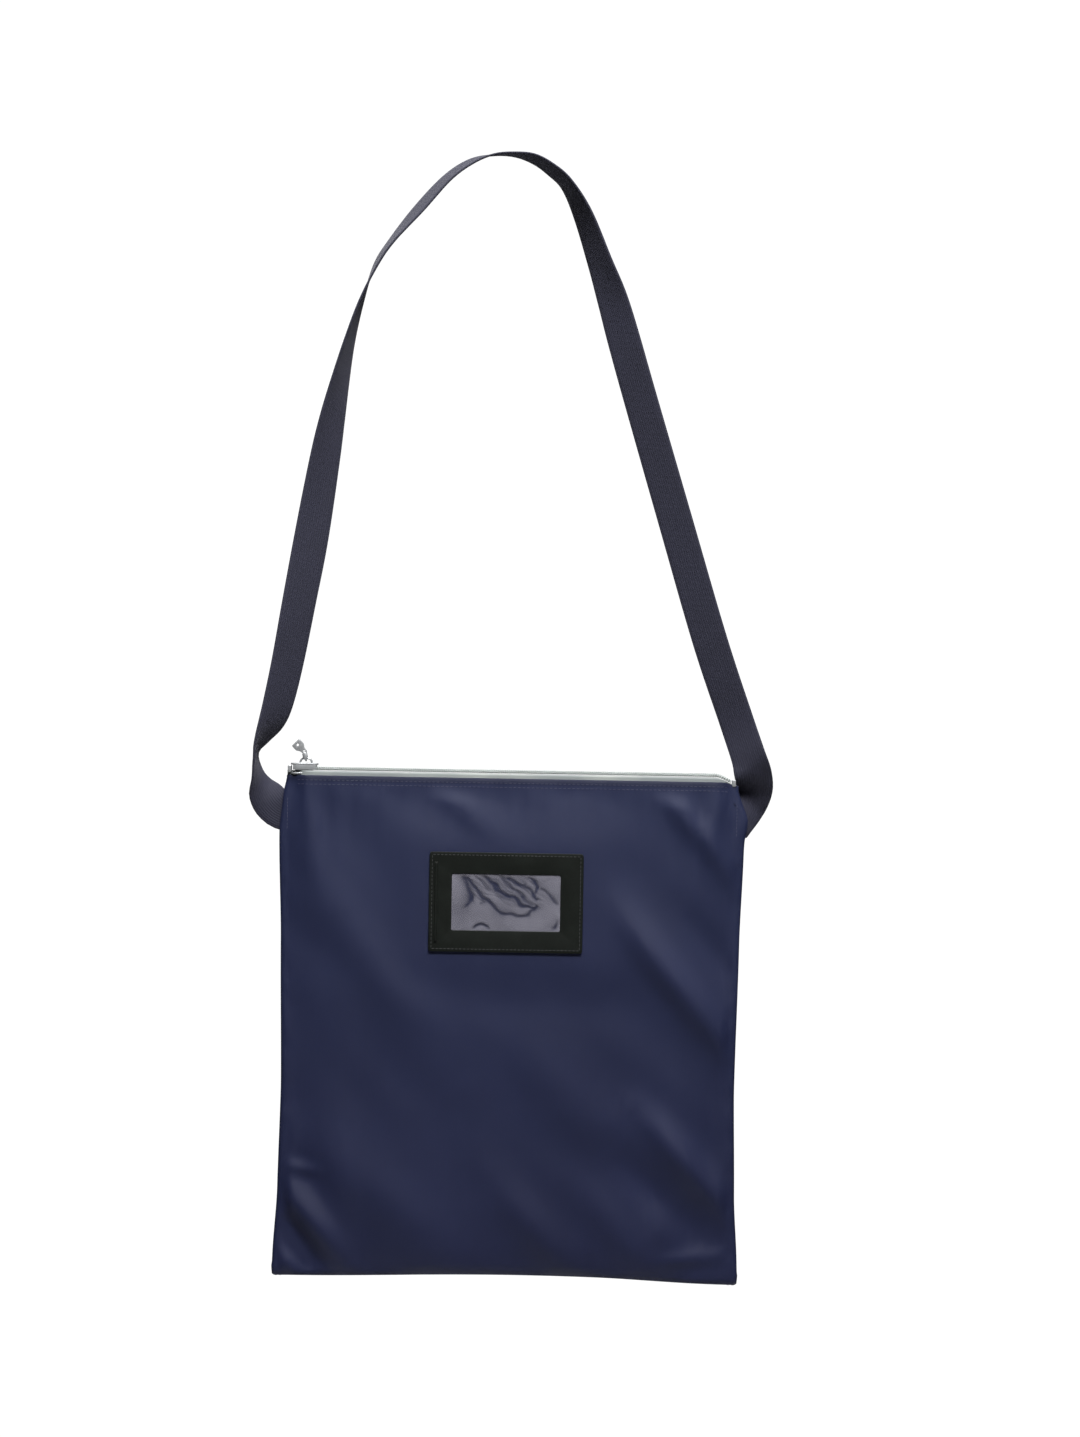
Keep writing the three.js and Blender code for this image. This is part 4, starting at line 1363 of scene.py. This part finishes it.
class DEPOSITBAG_OT_zip_coils(Operator):
    """Two rows of nylon coil that mesh along the middle of the zip"""

    bl_idname = "deposit_bag.zip_coils"
    bl_label = "Zip coils"

    def execute(self, context):
        settings = settings_now()
        finish = coil_material(settings)
        wire = COIL_WIRE
        turn_points = 10
        half_high = (COIL_HIGH.z - COIL_LOW.z) / 2 - wire
        middle_z = (COIL_HIGH.z + COIL_LOW.z) / 2
        outer, inner = -COIL_LOW.y - wire, -0.55 * MM
        for sign, name in ((-1, "coil_front"), (1, "coil_back")):
            points = []
            turns = int((COIL_HIGH.x - COIL_LOW.x - 2 * wire) / settings.coil_pitch)
            for k in range(turns * turn_points + 1):
                angle = 2 * math.pi * k / turn_points + (math.pi if sign > 0 else 0)
                x = COIL_LOW.x + wire + settings.coil_pitch * k / turn_points
                y = mix(inner, outer, 0.5 + 0.5 * math.cos(angle))
                z = middle_z + half_high * math.sin(angle)
                points.append(Vector((x, sign * y, z + zip_droop(x))))
            bm = tube_bmesh(points, round_section(wire, 5), acrosses=[Vector((1, 0, 0))] * len(points))
            obj = link(name, mesh_from(bm, name), finish)
            declare(obj, "bag", "zip_coil", "zip_" + name)
        return {"FINISHED"}


class DEPOSITBAG_OT_zip_stops(Operator):
    """Crimped metal stops at both ends of the zip"""

    bl_idname = "deposit_bag.zip_stops"
    bl_label = "Zip stops"

    def execute(self, context):
        for node, name in (("top_stop_front", "stop_closed_front"), ("top_stop_back", "stop_closed_back"),
                           ("bottom_stop", "stop_open_end")):
            low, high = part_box(node)
            drop = zip_droop((low.x + high.x) / 2)
            width, height = high.y - low.y, high.z - low.z + 1.3 * MM
            wall = 0.75 * MM
            # a staple in Y and Z: a curved back over the coil and two legs crimped towards each other
            legs = [(-width / 2, -height / 2), (-width / 2 + wall * 1.3, -height / 2 - 0.25 * MM),
                    (-width / 2 + wall, height / 2 - wall), (width / 2 - wall, height / 2 - wall),
                    (width / 2 - wall * 1.3, -height / 2 - 0.25 * MM), (width / 2, -height / 2),
                    (width / 2, height / 2), (-width / 2, height / 2)]
            outline = rounded_outline(legs, 0.28 * MM, 3)
            bm = plate_bmesh([outline], high.x - low.x, 0.22 * MM)
            centre = Vector(((low.x + high.x) / 2, (low.y + high.y) / 2, high.z - height / 2 + drop))
            stand = Matrix(((0, 0, 1, centre.x), (1, 0, 0, centre.y), (0, 1, 0, centre.z), (0, 0, 0, 1)))
            bmesh.ops.transform(bm, matrix=stand, verts=bm.verts[:])
            obj = link(name, mesh_from(bm, name), nickel_finish())
            declare(obj, "bag", "nickel", node)
        return {"FINISHED"}


def slider_outline(shrink=0.0):
    """Half-outlines of the slider's plate joined: wide at the closed end, waisted, and rounded."""
    half = [(-9.0, 3.4), (-7.6, 4.9), (-5.2, 5.4), (0.8, 4.9), (6.6, 4.6), (9.0, 3.5)]
    grow = [((x - math.copysign(shrink, x)) * MM, (y - shrink) * MM) for x, y in half]
    return rounded_outline([*grow, *[(x, -y) for x, y in reversed(grow)]], 0.8 * MM, 4)


class DEPOSITBAG_OT_slider(Operator):
    """Zip slider: plates, side flanges, the wedge between the tapes and the arch for the pull"""

    bl_idname = "deposit_bag.slider"
    bl_label = "Zip slider"

    def execute(self, context):
        self.add_body()
        self.add_arch()
        return {"FINISHED"}

    def add_body(self):
        centre_x = (SLIDER_LOW.x + SLIDER_HIGH.x) / 2
        plate = 1.3 * MM
        top_z, low_z = SLIDER_HIGH.z - plate / 2, SLIDER_LOW.z + plate / 2
        flange_low = TAPE_HIGH.z + 0.45 * MM
        flange_high = SLIDER_HIGH.z - plate * 0.6
        parts = [
            ([slider_outline()], plate, 0.35 * MM, top_z),
            ([slider_outline(0.35)], plate, 0.35 * MM, low_z),
            ([rounded_outline([(-6.4 * MM, 0), (-5 * MM, 0.62 * MM), (4.5 * MM, 0.5 * MM), (5.5 * MM, 0),
                               (4.5 * MM, -0.5 * MM), (-5 * MM, -0.62 * MM)], 0.3 * MM, 2)],
             top_z - low_z, 0.08 * MM, (top_z + low_z) / 2),
        ]
        for sign in (-1, 1):
            rim = [(-7.4, 4.75), (-5.2, 5.3), (0.8, 4.8), (6.5, 4.5), (8.0, 3.95), (8.0, 3.0), (6.3, 3.5),
                   (0.8, 4.0), (-5.2, 4.2), (-7.4, 3.7)]
            outline = rounded_outline([(x * MM, sign * y * MM) for x, y in rim], 0.3 * MM, 2)
            parts.append(([outline], flange_high - flange_low, 0.15 * MM, (flange_high + flange_low) / 2))
        whole = bmesh.new()
        scrap = bpy.data.meshes.new("scrap")
        for outlines, thickness, bevel, z in parts:
            bm = plate_bmesh(outlines, thickness, bevel)
            bmesh.ops.translate(bm, verts=bm.verts[:], vec=(centre_x, 0, z))
            bmesh.ops.recalc_face_normals(bm, faces=bm.faces[:])
            bm.to_mesh(scrap)
            bm.free()
            whole.from_mesh(scrap)
        bpy.data.meshes.remove(scrap)
        obj = link("slider_shell", mesh_from(whole, "slider_shell"), nickel_finish())
        declare(obj, "slider", "nickel", "slider_body")

    def add_arch(self):
        centre_x = (CROWN_LOW.x + CROWN_HIGH.x) / 2
        bar = 1.3 * MM
        half_length = (CROWN_HIGH.x - CROWN_LOW.x) / 2 - bar / 2
        height = CROWN_HIGH.z - CROWN_LOW.z - bar / 2
        depth = CROWN_HIGH.y - CROWN_LOW.y
        points = [Vector((centre_x - half_length, 0, CROWN_LOW.z - 0.5 * MM))]
        for k in range(17):
            angle = math.pi * (1 - k / 16)
            points.append(Vector((centre_x + half_length * math.cos(angle), 0,
                                  CROWN_LOW.z + height * math.sin(angle) ** 0.8)))
        points.append(Vector((centre_x + half_length, 0, CROWN_LOW.z - 0.5 * MM)))
        bm = tube_bmesh(points, flat_section(depth, bar, 3), acrosses=[Vector((0, 1, 0))] * len(points))
        obj = link("slider_arch", mesh_from(bm, "slider_arch"), nickel_finish())
        declare(obj, "slider", "nickel", "slider_crown")


TAB_LEAN = math.radians(-45)


class DEPOSITBAG_OT_pull(Operator):
    """Wire ring on the slider's arch and the small pierced pull tab on it"""

    bl_idname = "deposit_bag.pull"
    bl_label = "Zip pull"

    ring_height: length_property(
        "Ring height", "From the lower bar to the upper bar of the ring", 6.2 * MM)
    tab_length: length_property(
        "Tab length", "From the ring to the end of the tab", 8.5 * MM)

    def execute(self, context):
        ring_foot = Vector(RING_JOINT["pos_m"])
        ring_top = Vector(TAB_JOINT["pos_m"])
        up = (ring_top - ring_foot).normalized()
        wire = 0.5 * MM
        half = 2.6 * MM
        loop = rounded_outline([(-half, 0), (half, 0), (half, self.ring_height), (-half, self.ring_height)],
                               1.4 * MM, 5)
        points = [ring_foot + Vector((0, y, 0)) + up * z for y, z in loop]
        bm = tube_bmesh(points, round_section(wire, 10), acrosses=[up.cross(Vector((0, 1, 0)))] * len(points),
                        closed=True)
        self.flatten_sides(bm, ring_foot, up)
        ring = link("ring_wire", mesh_from(bm, "ring_wire"), nickel_finish())
        declare(ring, "pull_ring", "nickel", "pull_ring")
        self.add_tab(ring_top)
        return {"FINISHED"}

    def flatten_sides(self, bm, foot, up):
        """Spreads the ring's two sides into flat cheeks; its lower and upper bars stay round."""
        side = up.cross(Vector((0, 1, 0)))
        middle = self.ring_height / 2
        for v in bm.verts:
            offset = v.co - foot
            cheek = smoothstep(1.35 - abs(offset.dot(up) - middle) / middle * 1.5)
            v.co += side * (offset.dot(side) * 3.8 * cheek)

    def add_tab(self, foot):
        neck, broad, shoulder, length = 1.8 * MM, 3.5 * MM, 4.0 * MM, self.tab_length
        angles = [k * math.pi / 8 for k in range(1, 8)]
        neck_arc = [Vector((-neck * math.cos(a), -neck * math.sin(a))) for a in angles]
        corner_steps = 4
        body = rounded_outline([(-neck, 0), (neck, 0), (neck, neck), (broad, shoulder), (broad, length),
                                (-broad, length), (-broad, shoulder), (-neck, neck)], 0.9 * MM, corner_steps)
        # the arc round the eye takes the place of the two rounded corners at the tab's foot
        rim = neck_arc + body[2 * (corner_steps + 1):]
        outlines = [rim, circle_outline((0, 0), 0.9 * MM), circle_outline((0, length - 2.3 * MM), 0.8 * MM)]
        bm = plate_bmesh(outlines, 1.1 * MM, 0.28 * MM)
        along = Vector((math.sin(TAB_LEAN), 0, math.cos(TAB_LEAN)))
        across = Vector((math.cos(TAB_LEAN), 0, -math.sin(TAB_LEAN)))
        place = Matrix((across, along, across.cross(along))).transposed().to_4x4()
        place.translation = foot
        bmesh.ops.transform(bm, matrix=place, verts=bm.verts[:])
        tab = link("tab_plate", mesh_from(bm, "tab_plate"), nickel_finish())
        declare(tab, "pull_tab", "nickel", "pull_tab")


# ---- card window ----
# Creases in the window film, each as (places, half-width in millimetres, depth). Places run from
# -1 to 1 across and up the film. Most swirl down to the right.
CREASES = [
    ([(-0.77, 0.92), (-0.65, 0.18), (-0.72, -0.10)], 1.5, 0.8),
    ([(-0.72, 0.90), (-0.40, 0.11), (-0.02, -0.35), (0.37, -0.45), (0.54, -0.12)], 1.2, 0.9),
    ([(-0.40, 0.95), (-0.12, 0.44), (0.30, -0.02), (0.51, -0.24)], 1.3, 1.0),
    ([(-0.15, 0.95), (0.16, 0.44), (0.46, -0.04)], 0.9, 0.7),
    ([(0.05, 0.80), (0.44, 0.44), (0.58, 0.16)], 1.0, 0.8),
    ([(0.40, 0.86), (0.58, 0.57), (0.50, 0.28)], 0.9, 0.8),
    ([(0.65, 0.50), (0.98, 0.05)], 0.9, 0.7),
    ([(-0.55, 0.95), (-0.30, 0.52), (-0.05, 0.16)], 0.8, 0.5),
    ([(0.84, -0.92), (1.00, -0.64)], 1.2, 0.9),
]
# half the film's width and height in millimetres, and how finely it is divided
FILM_HALF_X, FILM_HALF_Z = 36, 19
FILM_COLUMNS, FILM_ROWS = 150, 84
FILM_THICKNESS = 0.25 * MM


def crease_run(places):
    """Eleven points in millimetres along the smooth line through a crease's places."""
    knots = [Vector((FILM_HALF_X * u, FILM_HALF_Z * v)) for u, v in places]
    return [spline_at(knots, k / 10) for k in range(11)]


CREASE_RUNS = [(crease_run(places), width, depth) for places, width, depth in CREASES]
THUMB_NOTCH = (Vector((-16, -20)), 5.6)


def distance_to_run(here, run):
    """How far here lies from the line through run's points."""
    nearest = math.inf
    for a, b in zip(run, run[1:]):
        span = b - a
        t = min(max((here - a).dot(span) / span.length_squared, 0.0), 1.0)
        nearest = min(nearest, (here - a - span * t).length)
    return nearest


def crease_at(u, v):
    """0 on the film's flats and up to 1 along its flowing creases; u and v run from -1 to 1."""
    x, z = FILM_HALF_X * u, FILM_HALF_Z * v
    here = Vector((x + 2.4 * noise.noise(Vector((x / 7, z / 7, 4.2))),
                   z + 2.4 * noise.noise(Vector((x / 8, z / 6, 8.4)))))
    total = 0.0
    for run, width, depth in CREASE_RUNS:
        off = distance_to_run(here, run)
        line = math.exp(-(off / width) ** 2)
        dip = math.exp(-(off / (3 * width)) ** 2)
        total = max(total, depth * (0.72 * line + 0.28 * dip))
    # fine wrinkles between the creases, in the upper half
    along, across = 0.82 * here.x - 0.57 * here.y, 0.57 * here.x + 0.82 * here.y
    fine = smoothstep(1 - abs(noise.noise(Vector((along / 12, across / 2.6, 6.1)))) / 0.14)
    total += 0.45 * fine * smoothstep((v + 0.4) / 0.5) * smoothstep((1.0 - abs(u)) / 0.5)
    # the thumb notch in the pocket behind the film
    centre, radius = THUMB_NOTCH
    notch = abs((Vector((x, z)) - centre).length - radius)
    total += 0.9 * math.exp(-(notch / 1.0) ** 2)
    return min(total, 1.0)


class DEPOSITBAG_OT_card_window(Operator):
    """Vinyl frame and clear film of the card pocket on the front"""

    bl_idname = "deposit_bag.card_window"
    bl_label = "Card window"

    film_relief: length_property(
        "Film relief", "How deep the creases in the window film are", 0.42 * MM)

    def execute(self, context):
        self.add_frame()
        self.add_film()
        self.add_stitches()
        return {"FINISHED"}

    def add_frame(self):
        middle = (ID_LOW + ID_HIGH) / 2
        half_x, half_z = (ID_HIGH.x - ID_LOW.x) / 2, (ID_HIGH.z - ID_LOW.z) / 2
        film_low, film_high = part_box("id_window")
        gap = 0.5 * MM
        hole_x, hole_z = (film_high.x - film_low.x) / 2 - gap, (film_high.z - film_low.z) / 2 - gap
        rim = rounded_outline([(-half_x, -half_z), (half_x, -half_z), (half_x, half_z), (-half_x, half_z)],
                              2.2 * MM, 6)
        hole = rounded_outline([(-hole_x, -hole_z), (hole_x, -hole_z), (hole_x, hole_z), (-hole_x, hole_z)],
                               1.2 * MM, 5)
        bm = plate_bmesh([rim, hole], ID_HIGH.y - ID_LOW.y, 0.45 * MM, 3)
        stand = Matrix(((1, 0, 0, middle.x), (0, 0, -1, middle.y), (0, 1, 0, middle.z), (0, 0, 0, 1)))
        bmesh.ops.transform(bm, matrix=stand, verts=bm.verts[:])
        finish = vinyl_material(settings_now())
        frame_piece = link("window_frame", mesh_from(bm, "window_frame"), finish)
        declare(frame_piece, "bag", "black_vinyl", "id_frame")
        # the welt where the card is slipped in
        welt_x = ID_LOW.x + 4.6 * MM
        points = [Vector((welt_x, ID_LOW.y - 0.25 * MM, middle.z + z)) for z in
                  (half_z * (k / 20 - 1) * 0.80 for k in range(41))]
        section = flat_section(1.9 * MM, 1.0 * MM, 3)
        bm = tube_bmesh(points, section, acrosses=[Vector((1, 0, 0))] * len(points))
        welt = link("window_welt", mesh_from(bm, "window_welt"), finish)
        declare(welt, "bag", "black_vinyl")

    def add_film(self):
        low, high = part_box("id_window")
        bm = bmesh.new()
        bmesh.ops.create_grid(bm, x_segments=FILM_COLUMNS, y_segments=FILM_ROWS, size=1.0)
        crease = bm.verts.layers.float.new("crease")
        y = (low.y + high.y) / 2
        for v in bm.verts:
            u, w = v.co.x, v.co.y
            depth = crease_at(u, w)
            edge = smoothstep((1 - abs(u)) / 0.10) * smoothstep((1 - abs(w)) / 0.18)
            swell = noise.noise(Vector((u * 2.2, w * 1.4, 1.0))) * 0.35 * MM
            v[crease] = depth * edge
            v.co = Vector((mix(low.x, high.x, (u + 1) / 2), y + (self.film_relief * depth - swell) * edge,
                           mix(low.z, high.z, (w + 1) / 2)))
        if sum(f.normal.y for f in bm.faces) > 0:
            bmesh.ops.reverse_faces(bm, faces=bm.faces[:])
        obj = thick_sheet(bm, "window_film", film_material(settings_now()), FILM_THICKNESS)
        declare(obj, "bag", "clear_film", "id_window")

    def add_stitches(self):
        inset = 1.9 * MM
        y = ID_LOW.y
        left, right = ID_LOW.x + inset, ID_HIGH.x - inset
        base, top = ID_LOW.z + inset, ID_HIGH.z - inset
        places = ((left, top), (left, base), (right, base), (right, top))
        corners = [Vector((x, y, z)) for x, z in places]
        stitches = []
        for a, b in zip(corners, corners[1:] + corners[:1]):
            stitches += stitch_run([a, b], [Vector((0, -1, 0))] * 2, 2.6 * MM)
        add_stitches("window_stitches", stitches, 0.26 * MM, black_thread(), "black_vinyl")


# ---- stitching ----
def stitch_run(points, normals, pitch):
    """Stitches at even steps along a line, as (middle, along, normal, length)."""
    lengths = [0.0]
    for a, b in zip(points, points[1:]):
        lengths.append(lengths[-1] + (b - a).length)
    count = max(1, round(lengths[-1] / pitch))
    stitches = []
    k = 0
    for i in range(count):
        goal = lengths[-1] * (i + 0.5) / count
        while lengths[k + 1] < goal:
            k += 1
        t = (goal - lengths[k]) / (lengths[k + 1] - lengths[k])
        along = (points[k + 1] - points[k]).normalized()
        normal = normals[k].lerp(normals[k + 1], t).normalized()
        stitches.append((points[k].lerp(points[k + 1], t), along, normal, lengths[-1] / count * 0.78))
    return stitches


def add_stitches(name, stitches, radius, finish, slot):
    """One object of small rounded threads that dip into the cloth at their ends."""
    bm = bmesh.new()
    for middle, along, normal, length in stitches:
        across = normal.cross(along).normalized()
        turn = Matrix((across, normal.cross(across).normalized(), normal)).transposed().to_4x4()
        squash = Matrix.Diagonal((radius, length / 2, radius * 0.8, 1))
        turn.translation = middle + normal * radius * 0.25
        bmesh.ops.create_uvsphere(bm, u_segments=6, v_segments=5, radius=1, matrix=turn @ squash)
    declare(link(name, mesh_from(bm, name), finish), "bag", slot)


HEM_STITCH_REACH = 0.143
HEM_STITCH_DROPS = (2.6 * MM, 5.4 * MM)
TACK_X = 0.1492
TACK_TOP, TACK_BASE = -0.428, -0.449


class DEPOSITBAG_OT_stitching(Operator):
    """Rows of stitches along both hems and the tacks that hold the strap ends"""

    bl_idname = "deposit_bag.stitching"
    bl_label = "Stitching"

    def execute(self, context):
        pitch = settings_now().stitch_length
        reach = HEM_STITCH_REACH
        for sign, name in ((-1, "front"), (1, "back")):
            tree = surface_of(name + "_cloth")
            stitches = []
            for drop in HEM_STITCH_DROPS:
                xs = [mix(-reach, reach, k / 180) for k in range(181)]
                laid = [on_cloth(tree, x, HEM_Z - drop + hem_wave(x), sign) for x in xs]
                stitches += stitch_run([p for p, _ in laid], [n for _, n in laid], pitch)
            add_stitches(name + "_hem_stitches", stitches, 0.2 * MM, navy_thread(), "navy_nylon")
            tacks = []
            for side in (-1, 1):
                zs = [mix(TACK_TOP, TACK_BASE, k / 12) for k in range(13)]
                laid = [on_cloth(tree, side * TACK_X, z, sign) for z in zs]
                tacks += stitch_run([p for p, _ in laid], [n for _, n in laid], pitch * 0.8)
            add_stitches(name + "_strap_tacks", tacks, 0.22 * MM, navy_thread(), "navy_nylon")
        return {"FINISHED"}


# ---- panel and registration ----
STEPS = (
    "stage", "panels", "bindings", "strap", "zip_tapes", "zip_coils", "zip_stops", "slider", "pull",
    "card_window", "stitching",
)


class DEPOSITBAG_PT_sidebar(Panel):
    """Lists the bag's settings and the operators that build it"""

    bl_label = "Cash Deposit Bag"
    bl_idname = "DEPOSITBAG_PT_sidebar"
    bl_space_type = "VIEW_3D"
    bl_region_type = "UI"
    bl_category = "Deposit Bag"

    def draw(self, context):
        for name in DepositBagSettings.__annotations__:
            self.layout.prop(context.scene.deposit_bag, name)
        for step in STEPS:
            self.layout.operator(f"deposit_bag.{step}")


CLASSES = (
    DepositBagSettings,
    DEPOSITBAG_OT_stage,
    DEPOSITBAG_OT_panels,
    DEPOSITBAG_OT_bindings,
    DEPOSITBAG_OT_strap,
    DEPOSITBAG_OT_zip_tapes,
    DEPOSITBAG_OT_zip_coils,
    DEPOSITBAG_OT_zip_stops,
    DEPOSITBAG_OT_slider,
    DEPOSITBAG_OT_pull,
    DEPOSITBAG_OT_card_window,
    DEPOSITBAG_OT_stitching,
    DEPOSITBAG_PT_sidebar,
)


def register():
    for cls in CLASSES:
        bpy.utils.register_class(cls)
    bpy.types.Scene.deposit_bag = PointerProperty(type=DepositBagSettings)


def unregister():
    del bpy.types.Scene.deposit_bag
    for cls in reversed(CLASSES):
        bpy.utils.unregister_class(cls)


def main():
    register()
    for step in STEPS:
        getattr(bpy.ops.deposit_bag, step)()


if __name__ == "__main__":
    main()
